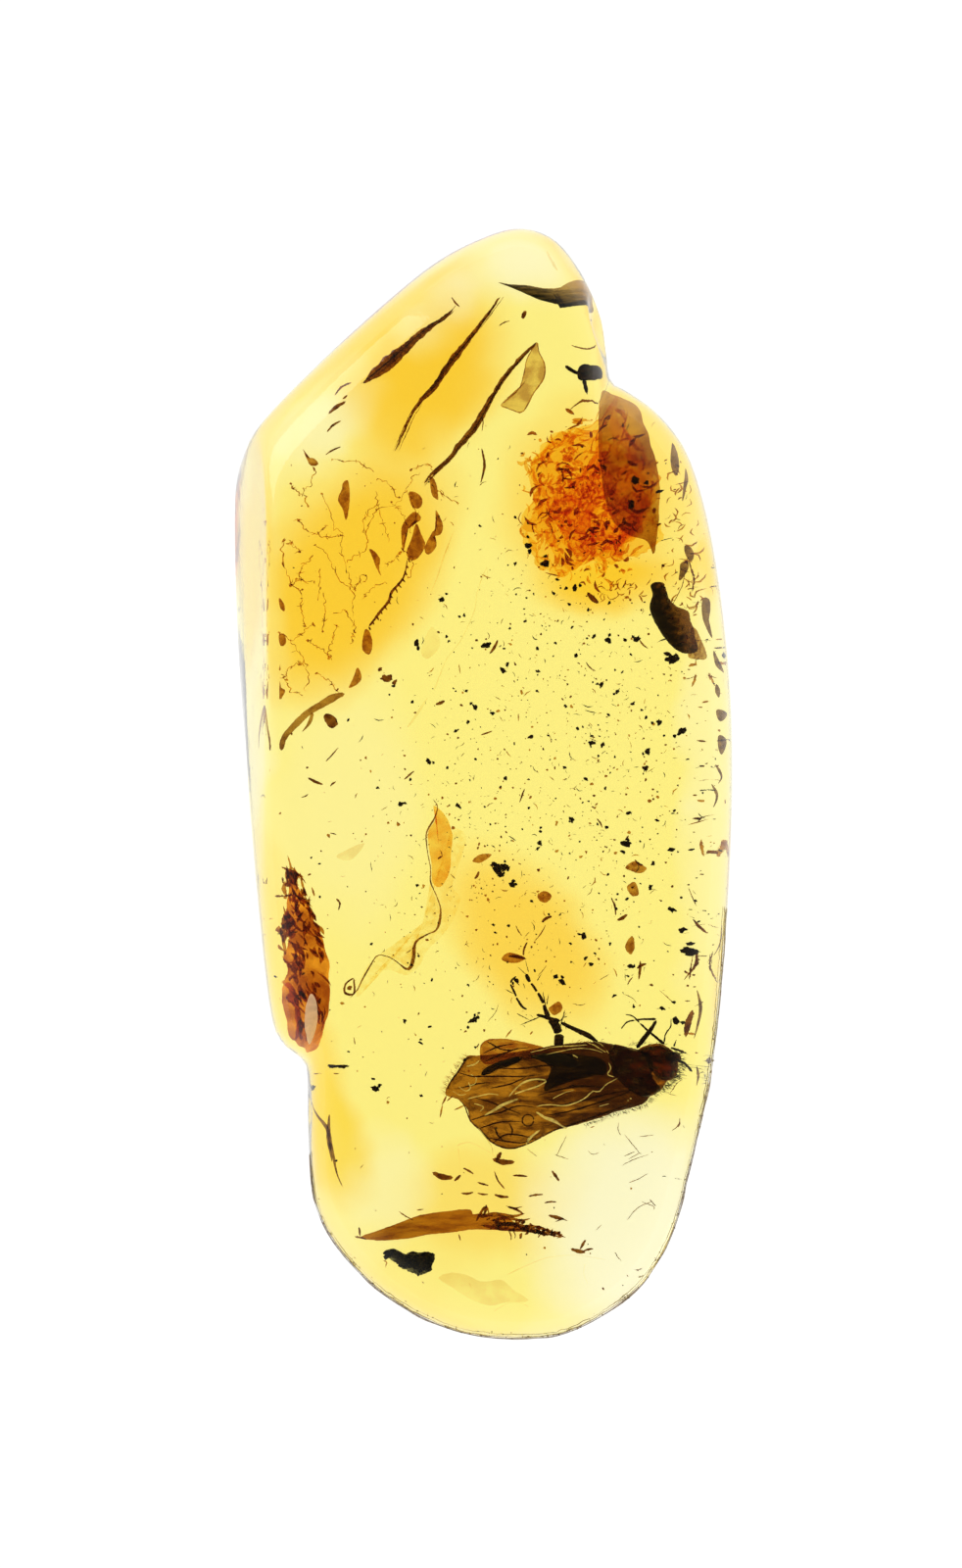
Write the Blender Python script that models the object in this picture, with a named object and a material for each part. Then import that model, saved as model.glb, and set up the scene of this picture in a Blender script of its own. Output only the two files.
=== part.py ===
# A piece of polished amber lying on its flat back. A caddisfly and scraps of leaf, bark and
# charcoal are sealed inside, each in a pocket of its own form.
# The clear stone is parted in two level with the insect, so that every pocket is open to one face.
#
# Frame: +Z up, +Y along the stone to its pointed end, origin on the resting face under the middle
# of the stone. All sizes are in millimetres until a mesh is finished, and then in metres.

import math

import bmesh
import bpy
from mathutils import Matrix, Vector, noise

MM = 0.001

# Driving sizes of the stone
THICKNESS = 8.0
EQUATOR = 2.2  # height of the widest outline
RESTING_SHARE = 0.86  # the flat back, as a share of the outline
PARTING = 4.4  # height of the plane that parts the two halves
GAP = 0.3  # between the halves
POCKET_GAP = 0.2  # round each scrap
POCKET_GRID = 0.2  # spacing of the places where a pocket may have a corner
CROWN_POWER = 6.0  # how square the shoulders of the crown are
ROUND_POWER = 2.0  # a true ellipse
RESTING_LATITUDE = 60.0  # the sphere's latitude, in degrees, that becomes the rim of the flat back
STONE_AROUND = 96  # faces round the stone
STONE_RINGS = 12  # and from the back's middle to the crown's

# The stone's outline from above, counterclockwise from its right side
OUTLINE = (
    (8.1, 0.0), (8.0, 3.5), (7.6, 7.0), (7.1, 9.4), (6.5, 11.0), (5.6, 12.1), (4.7, 12.75),
    (4.15, 13.1), (4.0, 14.0), (3.8, 15.2), (3.2, 16.6), (2.3, 17.7), (1.2, 18.05), (0.0, 17.75),
    (-1.6, 16.9), (-3.5, 15.35), (-5.6, 13.4), (-7.3, 11.6), (-8.0, 10.2), (-8.15, 8.3),
    (-8.0, 4.5), (-7.7, 0.5), (-7.3, -4.0), (-6.9, -7.4), (-6.5, -8.4), (-5.85, -8.95),
    (-5.7, -9.6), (-5.65, -12.0), (-5.4, -13.8), (-4.5, -15.35), (-2.9, -16.8), (-0.9, -17.75),
    (1.1, -18.0), (2.9, -17.75), (4.9, -16.5), (6.1, -14.7), (6.8, -12.2), (7.4, -9.5),
    (7.7, -7.0), (7.95, -4.0),
)

NOTCH_FADE = 0.16  # share of the outline over which its notches fade towards the middle
CURVE_STEPS = 24  # fine steps between two points of an outline, before it is spaced evenly

# Flats left by the polishing wheel, here only one on the left: a direction, how far out the flat
# lies, and how soft its edge is
FACETS = (
    (Vector((-0.97, 0.0, 0.22)), 8.44, 0.08),
)

# Chips out of the edge: the centre and radius of the ball that each one fits
CHIPS = (
    (Vector((6.3, 15.4, 6.4)), 2.9),
    (Vector((-7.7, -10.6, 6.0)), 2.2),
)

WAVE_HEIGHT = 0.07  # the hand-polished crown is not quite even
WAVE_LENGTH = 4.2

# The caddisfly lies on its side, its head to the right and its legs up
WING_OUTLINE = (
    (5.61, -8.9), (5.19, -8.45), (4.27, -8.3), (2.14, -8.3), (0.1, -8.55), (-0.64, -8.75),
    (-1.15, -9.7), (-1.05, -10.1), (-0.45, -10.6), (0.1, -11.4), (0.84, -11.7), (2.42, -11.0),
    (4.17, -10.4), (5.24, -9.75),
)
HINDWING_OUTLINE = (
    (1.77, -8.4), (1.12, -8.2), (0.38, -8.05), (-0.04, -8.2), (-0.18, -8.5), (0.01, -9.0), (0.75, -9.2),
    (1.58, -8.9),
)
WING_HALF_THICKNESS = 1.0
WING_POWER = 2.2
HINDWING_HALF_THICKNESS = 0.35
THORAX = (Vector((4.54, -9.25, 0.1)), Vector((1.08, 0.85, 0.9)))
HEAD = (Vector((5.51, -8.9, 0.1)), Vector((0.43, 0.5, 0.5)))
EYE_RADIUS = 0.17
EYES = (Vector((5.67, -8.68, 0.48)), Vector((5.67, -8.68, -0.28)))

# Each limb is a list of (x, y, height over the parting plane, radius)
LIMBS = {
    "fore_leg": ((4.58, -8.55, 0.2, 0.12), (5.13, -7.5, 0.5, 0.10), (4.63, -7.52, 0.6, 0.06),
                 (4.27, -7.58, 0.6, 0.05), (4.06, -7.78, 0.5, 0.04)),
    "second_fore_leg": ((5.38, -8.5, -0.2, 0.10), (4.96, -7.8, -0.3, 0.07), (4.58, -7.43, -0.3, 0.05),
                        (4.23, -7.3, -0.2, 0.04)),
    "middle_leg": ((2.23, -8.6, 0.1, 0.20), (2.16, -7.75, 0.2, 0.17), (1.86, -7.37, 0.25, 0.13),
                   (1.68, -6.9, 0.3, 0.09), (1.24, -6.1, 0.3, 0.06)),
    "hind_leg": ((3.29, -8.55, -0.1, 0.16), (3.2, -8.1, -0.1, 0.14), (2.09, -7.48, -0.3, 0.11),
                 (1.16, -7.12, -0.3, 0.09), (0.84, -6.55, -0.3, 0.06), (0.75, -6.26, -0.3, 0.05),
                 (0.92, -6.1, -0.3, 0.04)),
    "antenna": ((5.75, -8.8, 0.2, 0.07), (5.88, -8.92, 0.1, 0.05), (6.02, -9.1, 0.0, 0.04)),
    "second_antenna": ((5.42, -8.55, 0.1, 0.07), (5.49, -7.8, 0.2, 0.05), (5.6, -7.62, 0.2, 0.04),
                       (5.6, -7.4, 0.2, 0.04)),
    "palp": ((5.56, -8.5, 0.1, 0.07), (5.93, -8.56, 0.0, 0.04)),
}
LIMB_SIDES = 7

# Scraps that keep the form of a flat outline: outline, half thickness, tilt in degrees about X and Y
SCRAPS = {
    "needle_leaf": (
        ((-3.47, -14.18), (-2.64, -13.85), (-1.54, -13.55), (-0.25, -13.35), (0.67, -13.5), (1.5, -13.6),
         (2.6, -14.2), (1.31, -14.1), (0.02, -14.05), (-1.54, -14.15), (-2.64, -14.2)),
        0.22, (6.0, -4.0)),
    "charcoal_crumb": (
        ((-2.85, -14.95), (-2.35, -14.92), (-1.75, -14.92), (-1.4, -14.95), (-1.35, -15.25),
         (-1.55, -15.55), (-2.05, -15.5), (-2.45, -15.3)),
        0.38, (0.0, 8.0)),
    "debris_clump": (
        ((5.46, 9.17), (5.06, 10.67), (4.06, 11.47), (2.76, 11.07), (1.66, 10.27), (1.21, 8.77), (1.56, 7.27),
         (2.76, 6.27), (4.16, 6.17), (5.16, 7.27)),
        1.15, (0.0, 0.0)),
    "bark_chip": (
        ((5.4, 6.35), (5.15, 5.75), (5.3, 5.05), (5.65, 4.45), (6.15, 4.05), (6.55, 3.95),
         (6.6, 4.55), (6.4, 5.15), (6.1, 5.65), (5.7, 6.15)),
        0.30, (8.0, 8.0)),
    "crescent_scale": (
        ((0.35, 15.87), (1.05, 15.57), (1.75, 15.25), (2.35, 15.15), (2.69, 15.27), (2.53, 15.65),
         (2.05, 15.83), (1.25, 15.87)),
        0.26, (8.0, 0.0)),
}
SCRAP_POWER = 2.4  # how full a scrap's rim is
CLUMP_MIDDLE = Vector((3.36, 8.77, PARTING))
CLUMP_LUMP = 0.28  # how far the clump's lumps stand out
CLUMP_LUMP_SIZE = 0.9

BUD_CENTRE = Vector((3.25, 13.1, -0.1))
BUD_RADIUS = 0.24
# Long scraps: a list of (x, y, height over the parting plane, radius), and their flatness
STRANDS = {
    "long_shred": (((-0.76, 15.19, 0.1, 0.05), (-2.01, 14.17, -0.1, 0.12), (-2.81, 13.51, -0.3, 0.20),
                    (-3.66, 12.79, -0.5, 0.06)), 0.6),
    "thin_shred": (((0.35, 15.1, -0.4, 0.05), (-0.21, 14.35, -0.2, 0.12), (-1.05, 13.2, 0.0, 0.17),
                    (-1.9, 12.05, 0.2, 0.09), (-2.35, 11.5, 0.3, 0.05)), 0.6),
    "leaf_scrap": (((1.75, 14.05, 0.1, 0.06), (1.2, 13.55, 0.05, 0.16), (0.6, 12.65, 0.0, 0.16),
                    (-0.03, 11.85, 0.0, 0.16), (-0.6, 10.95, -0.1, 0.17), (-1.1, 10.25, -0.2, 0.15),
                    (-1.55, 9.85, -0.2, 0.05)), 0.5),
    "rind_flake": (((-5.55, -3.8, 0.0, 0.22), (-5.35, -4.9, 0.0, 0.48), (-5.2, -6.0, -0.1, 0.60),
                    (-5.12, -7.1, -0.2, 0.52), (-5.05, -7.9, -0.1, 0.28)), 1.1),
    "bud_stub": (((2.7, 13.45, 0.1, 0.08), (2.93, 13.3, 0.1, 0.10), (3.2, 13.15, 0.0, 0.08)), 1.0),
}
STRAND_SIDES = 10
LOBE_OUTLINE = (
    (1.75, 13.95), (2.0, 13.25), (1.95, 12.75), (1.65, 12.25), (1.25, 11.8), (0.7, 12.05),
    (0.75, 12.65), (1.1, 13.45),
)
LOBE_HALF_THICKNESS = 0.12

# Colours as red, green and blue, then roughness
FINISHES = {
    "amber": ((0.93, 0.66, 0.13), 0.05),
    "insect": ((0.16, 0.08, 0.03), 0.55),
    "leaf": ((0.38, 0.19, 0.04), 0.60),
    "charcoal": ((0.02, 0.018, 0.015), 0.80),
    "debris": ((0.55, 0.20, 0.03), 0.70),
    "bark": ((0.10, 0.06, 0.03), 0.70),
}


def finish(name):
    """The material of that name, made once."""
    material = bpy.data.materials.get(name)
    if material:
        return material
    colour, roughness = FINISHES[name]
    material = bpy.data.materials.new(name)
    material.use_nodes = True
    shader = material.node_tree.nodes["Principled BSDF"]
    shader.inputs["Base Color"].default_value = (*colour, 1.0)
    shader.inputs["Roughness"].default_value = roughness
    shader.inputs["Metallic"].default_value = 0.0
    return material


def finished(name, mesh_in_mm, material):
    """Puts a mesh that was made in millimetres into the scene as an object in metres."""
    bmesh.ops.scale(mesh_in_mm, vec=(MM, MM, MM), verts=mesh_in_mm.verts)
    bmesh.ops.recalc_face_normals(mesh_in_mm, faces=mesh_in_mm.faces)
    mesh = bpy.data.meshes.new(name)
    mesh_in_mm.to_mesh(mesh)
    mesh_in_mm.free()
    mesh.shade_smooth()
    mesh.set_sharp_from_angle(angle=math.radians(40))
    mesh.materials.append(finish(material))
    obj = bpy.data.objects.new(name, mesh)
    bpy.context.scene.collection.objects.link(obj)
    return obj


def as_helper(obj):
    """A cutter or a piece that is fused into another one."""
    obj.hide_render = True
    obj.display_type = "WIRE"
    return obj


def closed_curve(points, count):
    """count points, evenly spaced, on the smooth closed curve through the given ones."""
    fine = []
    total = len(points)
    for i in range(total):
        before, start, end, after = (Vector(points[(i + k) % total]) for k in (-1, 0, 1, 2))
        for step in range(CURVE_STEPS):
            t = step / CURVE_STEPS
            fine.append(0.5 * (2 * start + (end - before) * t
                               + (2 * before - 5 * start + 4 * end - after) * t ** 2
                               + (3 * start - before - 3 * end + after) * t ** 3))
    lengths = [0.0]
    for i, point in enumerate(fine):
        lengths.append(lengths[-1] + (fine[(i + 1) % len(fine)] - point).length)
    spaced = []
    at = 0
    for i in range(count):
        wanted = lengths[-1] * i / count
        while lengths[at + 1] < wanted:
            at += 1
        share = (wanted - lengths[at]) / (lengths[at + 1] - lengths[at])
        spaced.append(fine[at].lerp(fine[(at + 1) % len(fine)], share))
    return spaced


def sphere_to_form(outline, centre, profile, around, rings, softness=0.0):
    """A sphere drawn out to an outline. profile turns a latitude in degrees into (share of the
    outline, height). softness is the share of the outline over which its notches fade out on the
    way to the middle."""
    ring = closed_curve(outline, around)
    reach = round(softness * around / 2)
    near = range(-reach, reach + 1)
    soft = [sum((ring[(i + k) % around] for k in near), Vector((0, 0))) / len(near)
            for i in range(around)]
    bm = bmesh.new()
    bmesh.ops.create_uvsphere(bm, u_segments=around, v_segments=rings, radius=1.0)
    for vert in bm.verts:
        latitude = round(math.degrees(math.asin(max(-1.0, min(1.0, vert.co.z)))), 2)
        turn = math.atan2(vert.co.y, vert.co.x) / math.tau
        at = round(turn * around) % around
        share, height = profile(latitude)
        edge = soft[at].lerp(ring[at], share)
        flat = Vector(centre) + (edge - Vector(centre)) * share
        vert.co = Vector((flat.x, flat.y, height))
    return bm


def rounded(latitude, power):
    """(share outwards, share upwards) at a latitude of a round or a squarish section."""
    angle = math.radians(latitude)
    out = max(math.cos(angle), 0.0) ** (2 / power)
    up = math.copysign(abs(math.sin(angle)) ** (2 / power), latitude)
    return (0.0 if abs(latitude) > 89.9 else out), up


def stone_profile(latitude):
    """The stone's section: a full crown, a rounded lower edge and a flat back."""
    if latitude >= 0:
        out, up = rounded(latitude, CROWN_POWER)
        return out, EQUATOR + (THICKNESS - EQUATOR) * up
    if -latitude < RESTING_LATITUDE:
        out, up = rounded(latitude * 90 / RESTING_LATITUDE, ROUND_POWER)
        return RESTING_SHARE + (1 - RESTING_SHARE) * out, EQUATOR * (1 + up)
    return RESTING_SHARE * (90 + latitude) / (90 - RESTING_LATITUDE), 0.0


def polished(point):
    """Where a point of the plain stone ends up: waved by hand polishing, flattened and chipped."""
    above = max(0.0, (point.z - EQUATOR) / (THICKNESS - EQUATOR))
    wave = noise.noise(point / WAVE_LENGTH) * WAVE_HEIGHT * min(1.0, 2 * above)
    moved = point + Vector((0, 0, wave))
    for direction, distance, soft in FACETS:
        normal = direction.normalized()
        over = (normal.dot(moved) - distance) / soft
        moved = moved - normal * soft * math.log1p(math.exp(over))
    for centre, radius in CHIPS:
        away = moved - centre
        if away.length < radius:
            moved = centre + away.normalized() * radius
    return moved


def stone(around, rings):
    """The whole stone, without pockets, as a mesh in millimetres."""
    bm = sphere_to_form(OUTLINE, (0, 0), stone_profile, around, rings, NOTCH_FADE)
    for vert in bm.verts:
        if vert.co.z > 0:
            vert.co = polished(vert.co)
    flat_back = [f for f in bm.faces if all(v.co.z == 0 for v in f.verts)]
    bmesh.ops.dissolve_faces(bm, faces=flat_back)
    return bm


def half_stone(name, upper):
    """The part of the stone above or below the parting plane."""
    bm = stone(STONE_AROUND, STONE_RINGS)
    side = 1 if upper else -1
    plane = Vector((0, 0, PARTING + side * GAP / 2))
    bmesh.ops.bisect_plane(
        bm, geom=bm.verts[:] + bm.edges[:] + bm.faces[:], plane_co=plane,
        plane_no=Vector((0, 0, -side)), clear_outer=True, dist=1e-5)
    bmesh.ops.holes_fill(bm, edges=[e for e in bm.edges if e.is_boundary], sides=0)
    return finished(name, bm, "amber")


def puffed(outline, half_thickness, around, rings, power=ROUND_POWER):
    """A lens of the given outline about the parting plane."""
    centre = sum((Vector(p) for p in outline), Vector((0, 0))) / len(outline)

    def profile(latitude):
        out, up = rounded(latitude, power)
        return out, PARTING + half_thickness * up

    return sphere_to_form(outline, centre, profile, around, rings)


def tilted(bm, tilt):
    """Turns a scrap about its own middle by degrees about X and Y."""
    middle = sum((v.co for v in bm.verts), Vector()) / len(bm.verts)
    for degrees, axis in zip(tilt, "XY"):
        bmesh.ops.rotate(bm, verts=bm.verts, cent=middle,
                         matrix=Matrix.Rotation(math.radians(degrees), 3, axis))
    return bm


def strand(stations, sides, flatness=1.0):
    """A tapered rod through (x, y, height over the parting plane, radius)."""
    bm = bmesh.new()
    places = [Vector((x, y, PARTING + z)) for x, y, z, _ in stations]
    ring = bmesh.ops.create_circle(bm, cap_ends=False, segments=sides, radius=1.0)["verts"]
    unit = [v.co.copy() for v in ring]
    bm.faces.new(ring)
    for i, (place, station) in enumerate(zip(places, stations)):
        if i:
            edges = [bm.edges.get((ring[k - 1], ring[k])) for k in range(sides)]
            grown = bmesh.ops.extrude_edge_only(bm, edges=edges)["geom"]
            ring = [next(e.other_vert(v) for e in v.link_edges if e.other_vert(v) in grown)
                    for v in ring]
        ahead = places[min(i + 1, len(places) - 1)] - places[max(i - 1, 0)]
        across = ahead.cross(Vector((0, 0, 1))).normalized()
        up = across.cross(ahead).normalized() * flatness
        for vert, spot in zip(ring, unit):
            vert.co = place + (across * spot.x + up * spot.y) * station[3]
    bm.faces.new(ring)
    return bm


def ball(centre, radii, segments=14, rings=8):
    """A ball or egg. Its centre's height is over the parting plane."""
    bm = bmesh.new()
    bmesh.ops.create_uvsphere(bm, u_segments=segments, v_segments=rings, radius=1.0)
    bmesh.ops.scale(bm, vec=radii, verts=bm.verts)
    bmesh.ops.translate(bm, vec=centre + Vector((0, 0, PARTING)), verts=bm.verts)
    return bm


def fuse(obj, others):
    """Joins the other solids into obj."""
    for other in others:
        as_helper(other)
        join = obj.modifiers.new("join_" + other.name, "BOOLEAN")
        join.operation = "UNION"
        join.object = other
    return obj


def caddisfly():
    """The insect as one solid: folded wings, hindwing edge, thorax, head, eyes and limbs."""
    wings = puffed(WING_OUTLINE, WING_HALF_THICKNESS, 36, 12, WING_POWER)
    body = finished("caddisfly", wings, "insect")
    pieces = [
        finished("hindwing", puffed(HINDWING_OUTLINE, HINDWING_HALF_THICKNESS, 20, 8), "insect"),
        finished("thorax", ball(*THORAX), "insect"),
        finished("head", ball(*HEAD), "insect"),
    ]
    for i, eye in enumerate(EYES):
        round_eye = ball(eye, Vector((EYE_RADIUS,) * 3), 10, 6)
        pieces.append(finished(f"eye_{i + 1}", round_eye, "insect"))
    for name, stations in LIMBS.items():
        pieces.append(finished(name, strand(stations, LIMB_SIDES), "insect"))
    return fuse(body, pieces)


def debris_clump():
    """A lump of leaf dust, rough all over."""
    outline, half_thickness, _ = SCRAPS["debris_clump"]
    bm = puffed(outline, half_thickness, 32, 14, SCRAP_POWER)
    for vert in bm.verts:
        out = (vert.co - CLUMP_MIDDLE).normalized()
        vert.co += out * noise.noise(vert.co / CLUMP_LUMP_SIZE) * CLUMP_LUMP
    return finished("debris_clump", bm, "debris")


def scrap(name, material):
    """A scrap with a flat outline."""
    outline, half_thickness, tilt = SCRAPS[name]
    bm = puffed(outline, half_thickness, 26, 8, SCRAP_POWER)
    return finished(name, tilted(bm, tilt), material)


def long_scrap(name, material):
    """A scrap drawn out along a line."""
    stations, flatness = STRANDS[name]
    return finished(name, strand(stations, STRAND_SIDES, flatness), material)


def bud():
    """A round bud with the stub of its stalk."""
    round_part = finished("bud", ball(BUD_CENTRE, Vector((BUD_RADIUS,) * 3), 16, 10), "bark")
    return fuse(round_part, [long_scrap("bud_stub", "bark")])


def leaf_scrap():
    """A shred of leaf with the curled lobe that hangs from its upper end."""
    lobe = finished("leaf_lobe", puffed(LOBE_OUTLINE, LOBE_HALF_THICKNESS, 20, 6), "leaf")
    return fuse(long_scrap("leaf_scrap", "leaf"), [lobe])


def pocket_around(obj):
    """A closed convex shell that clears a scrap by about POCKET_GAP. Its corners lie on a coarse
    grid, so it has few of them."""
    graph = bpy.context.evaluated_depsgraph_get()
    corners = set()
    for vert in obj.evaluated_get(graph).data.vertices:
        for axis in (Vector((1, 0, 0)), Vector((0, 1, 0)), Vector((0, 0, 1))):
            for way in (-1, 1):
                spot = vert.co / MM + axis * way * POCKET_GAP
                corners.add(tuple(round(c / POCKET_GRID) for c in spot))
    bm = bmesh.new()
    for corner in sorted(corners):
        bm.verts.new(Vector(corner) * POCKET_GRID)
    hull = bmesh.ops.convex_hull(bm, input=bm.verts[:])
    left_over = hull["geom_interior"] + hull["geom_unused"]
    inside = [g for g in dict.fromkeys(left_over) if isinstance(g, bmesh.types.BMVert)]
    bmesh.ops.delete(bm, geom=inside, context="VERTS")
    return as_helper(finished("pocket_" + obj.name, bm, "amber"))


def cut_pockets(half, pockets):
    """Takes each pocket out of half of the stone."""
    for pocket in pockets:
        cut = half.modifiers.new("cut_" + pocket.name, "BOOLEAN")
        cut.operation = "DIFFERENCE"
        cut.object = pocket


def main():
    for old in list(bpy.data.objects):
        bpy.data.objects.remove(old)
    insect = caddisfly()
    scraps = [
        scrap("needle_leaf", "leaf"),
        scrap("charcoal_crumb", "charcoal"),
        debris_clump(),
        scrap("bark_chip", "bark"),
        scrap("crescent_scale", "bark"),
        bud(),
        long_scrap("long_shred", "leaf"),
        long_scrap("thin_shred", "leaf"),
        leaf_scrap(),
        long_scrap("rind_flake", "debris"),
    ]
    pockets = [pocket_around(obj) for obj in [insect] + scraps]
    for name, upper in (("amber_crown", True), ("amber_base", False)):
        cut_pockets(half_stone(name, upper), pockets)


main()
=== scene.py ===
# %% [markdown]
# # A caddisfly in amber
# The real object is one stone of hand-polished amber. Resin ran down a tree, caught an insect and
# the litter round it, and hardened. A polisher ground one flat back and a rounded crown.
#
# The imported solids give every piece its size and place. This lesson makes what the eye sees: one
# clear stone that bends and colours light, and the small brown things inside it.

# %% The frame
import math
import random

import bmesh
import bpy
from mathutils import Matrix, Vector, noise
from mathutils.bvhtree import BVHTree


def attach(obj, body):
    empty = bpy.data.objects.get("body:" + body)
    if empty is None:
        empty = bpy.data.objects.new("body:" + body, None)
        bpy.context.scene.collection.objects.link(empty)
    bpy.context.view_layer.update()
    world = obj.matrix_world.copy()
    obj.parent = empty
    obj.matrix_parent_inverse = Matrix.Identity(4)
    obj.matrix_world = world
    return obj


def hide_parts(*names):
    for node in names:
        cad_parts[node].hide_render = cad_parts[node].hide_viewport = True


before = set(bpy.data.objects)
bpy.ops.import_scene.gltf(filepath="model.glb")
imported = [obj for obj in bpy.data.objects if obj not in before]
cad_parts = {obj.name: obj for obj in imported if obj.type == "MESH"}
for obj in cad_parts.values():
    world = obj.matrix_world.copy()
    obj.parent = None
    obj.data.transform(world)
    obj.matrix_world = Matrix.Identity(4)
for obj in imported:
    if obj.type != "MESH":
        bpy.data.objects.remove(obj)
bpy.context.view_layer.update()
print("solids:", ", ".join(sorted(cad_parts)))

# %% [markdown]
# ## Units
# The shapes are drawn in millimetres, which suit a stone as long as a thumb, and become metres
# when a piece is finished.

# %% Millimetres
MM = 0.001
print("one millimetre is", MM, "m")

# %% [markdown]
# ## A shorthand for materials
# A pattern is a sum: one noise times another, less a mask. Written as nodes, it takes a dozen
# lines and hides the sum. A small class that wraps a socket lets Python's own + and * add the Math
# nodes, so that a line of the script reads as the sum that it is.

# %% Shader sums
class Value:
    """A number that changes over a surface, with Python's sums."""

    def __init__(self, recipe, socket):
        self.recipe = recipe
        self.socket = socket

    def sum(self, operation, *numbers):
        return self.recipe.node("ShaderNodeMath", {"operation": operation}, dict(enumerate(numbers)))

    def __add__(self, other):
        return self.sum("ADD", self, other)

    def __sub__(self, other):
        return self.sum("SUBTRACT", self, other)

    def __rsub__(self, other):
        return self.sum("SUBTRACT", other, self)

    def __mul__(self, other):
        return self.sum("MULTIPLY", self, other)

    def __truediv__(self, other):
        return self.sum("DIVIDE", self, other)

    def __pow__(self, other):
        return self.sum("POWER", self, other)

    __radd__ = __add__
    __rmul__ = __mul__

    def between(self, low, high):
        """0 below low, 1 above high, and smooth between them."""
        return self.recipe.node(
            "ShaderNodeMapRange", {"interpolation_type": "SMOOTHSTEP"},
            {"Value": self, "From Min": low, "From Max": high}, "Result")


class Recipe:
    """A material and its nodes."""

    def __init__(self, name):
        self.material = bpy.data.materials.new(name)
        self.material.use_nodes = True
        self.nodes = self.material.node_tree.nodes
        self.nodes.clear()
        self.output = self.nodes.new("ShaderNodeOutputMaterial")
        self.place = self.node("ShaderNodeTexCoord", output="Object")

    def node(self, kind, settings=None, sockets=None, output=0):
        """Any node: its type, its settings, what its sockets hold, and the output that is used."""
        made = self.nodes.new(kind)
        for name, value in (settings or {}).items():
            setattr(made, name, value)
        for name, value in (sockets or {}).items():
            self.feed(made.inputs[name], value)
        return Value(self, made.outputs[output])

    def feed(self, socket, value):
        if isinstance(value, Value):
            self.material.node_tree.links.new(value.socket, socket)
        elif isinstance(value, (tuple, list)) and len(value) == 3 and socket.type == "RGBA":
            socket.default_value = (*value, 1.0)
        else:
            socket.default_value = value

    def noise(self, size_mm, detail=3.0, roughness=0.55, distortion=0.0, stretch=(1, 1, 1)):
        """Cloudy noise from 0 to 1 whose lumps are about size_mm across."""
        where = self.node("ShaderNodeMapping", {}, {"Vector": self.place, "Scale": stretch})
        return self.node(
            "ShaderNodeTexNoise", {}, {
                "Vector": where, "Scale": 1.0 / (size_mm * MM), "Detail": detail,
                "Roughness": roughness, "Distortion": distortion}, "Fac")

    def mix(self, share, first, second):
        """A colour between two colours."""
        made = self.nodes.new("ShaderNodeMix")
        made.data_type = "RGBA"
        self.feed(made.inputs["Factor"], share)
        self.feed(made.inputs[6], first)
        self.feed(made.inputs[7], second)
        return Value(self, made.outputs[2])

    def bump(self, height, depth_mm):
        return self.node("ShaderNodeBump", {}, {"Height": height, "Distance": depth_mm * MM}, "Normal")

    def millimetres(self):
        """The place on the object as three values in millimetres."""
        split = self.nodes.new("ShaderNodeSeparateXYZ")
        self.feed(split.inputs[0], self.place)
        return [Value(self, output) / MM for output in split.outputs]

    def surface(self, shader):
        self.feed(self.output.inputs["Surface"], shader)
        return self.material


print("shader sums ready")

# %% [markdown]
# ## Finishing a mesh
# Every piece is drawn as a bmesh in millimetres. One function scales it to metres, turns its faces
# outwards, gives it its material and says which body carries it and which solids it stands for.

# %% Pieces
def finish_piece(name, bm, material, stands_for=(), smooth=True):
    """Makes a bmesh an object of the scene that rides with the stone."""
    bmesh.ops.scale(bm, vec=(MM, MM, MM), verts=bm.verts)
    bmesh.ops.recalc_face_normals(bm, faces=bm.faces)
    mesh = bpy.data.meshes.new(name)
    bm.to_mesh(mesh)
    bm.free()
    if smooth:
        mesh.shade_smooth()
    mesh.materials.append(material)
    piece = bpy.data.objects.new(name, mesh)
    bpy.context.scene.collection.objects.link(piece)
    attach(piece, "root")
    if stands_for:
        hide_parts(*stands_for)
    print(f"{name}: {len(mesh.polygons)} faces")


# %% [markdown]
# ## Smooth lines and outlines
# An outline needs only the points where it turns. A curve through those points is read off at
# even steps, so a mesh along it has no long and short faces.

# %% Curves through a few points
CURVE_STEPS = 24


def even_points(points, count, closed):
    """count points, evenly spaced, on the smooth curve through the given ones."""
    total = len(points)
    spans = total if closed else total - 1
    fine = []
    for i in range(spans):
        if closed:
            four = [Vector(points[(i + k) % total]) for k in (-1, 0, 1, 2)]
        else:
            four = [Vector(points[min(max(i + k, 0), total - 1)]) for k in (-1, 0, 1, 2)]
        before, start, end, after = four
        for step in range(CURVE_STEPS):
            t = step / CURVE_STEPS
            fine.append(0.5 * (2 * start + (end - before) * t
                               + (2 * before - 5 * start + 4 * end - after) * t ** 2
                               + (3 * start - before - 3 * end + after) * t ** 3))
    fine.append(Vector(points[0] if closed else points[-1]))
    lengths = [0.0]
    for here, following in zip(fine, fine[1:]):
        lengths.append(lengths[-1] + (following - here).length)
    spaced = []
    at = 0
    for i in range(count):
        wanted = lengths[-1] * i / (count if closed else count - 1)
        while at < len(lengths) - 2 and lengths[at + 1] < wanted:
            at += 1
        share = (wanted - lengths[at]) / max(lengths[at + 1] - lengths[at], 1e-9)
        spaced.append(fine[at].lerp(fine[at + 1], min(share, 1.0)))
    return spaced


print("curves ready")

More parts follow.
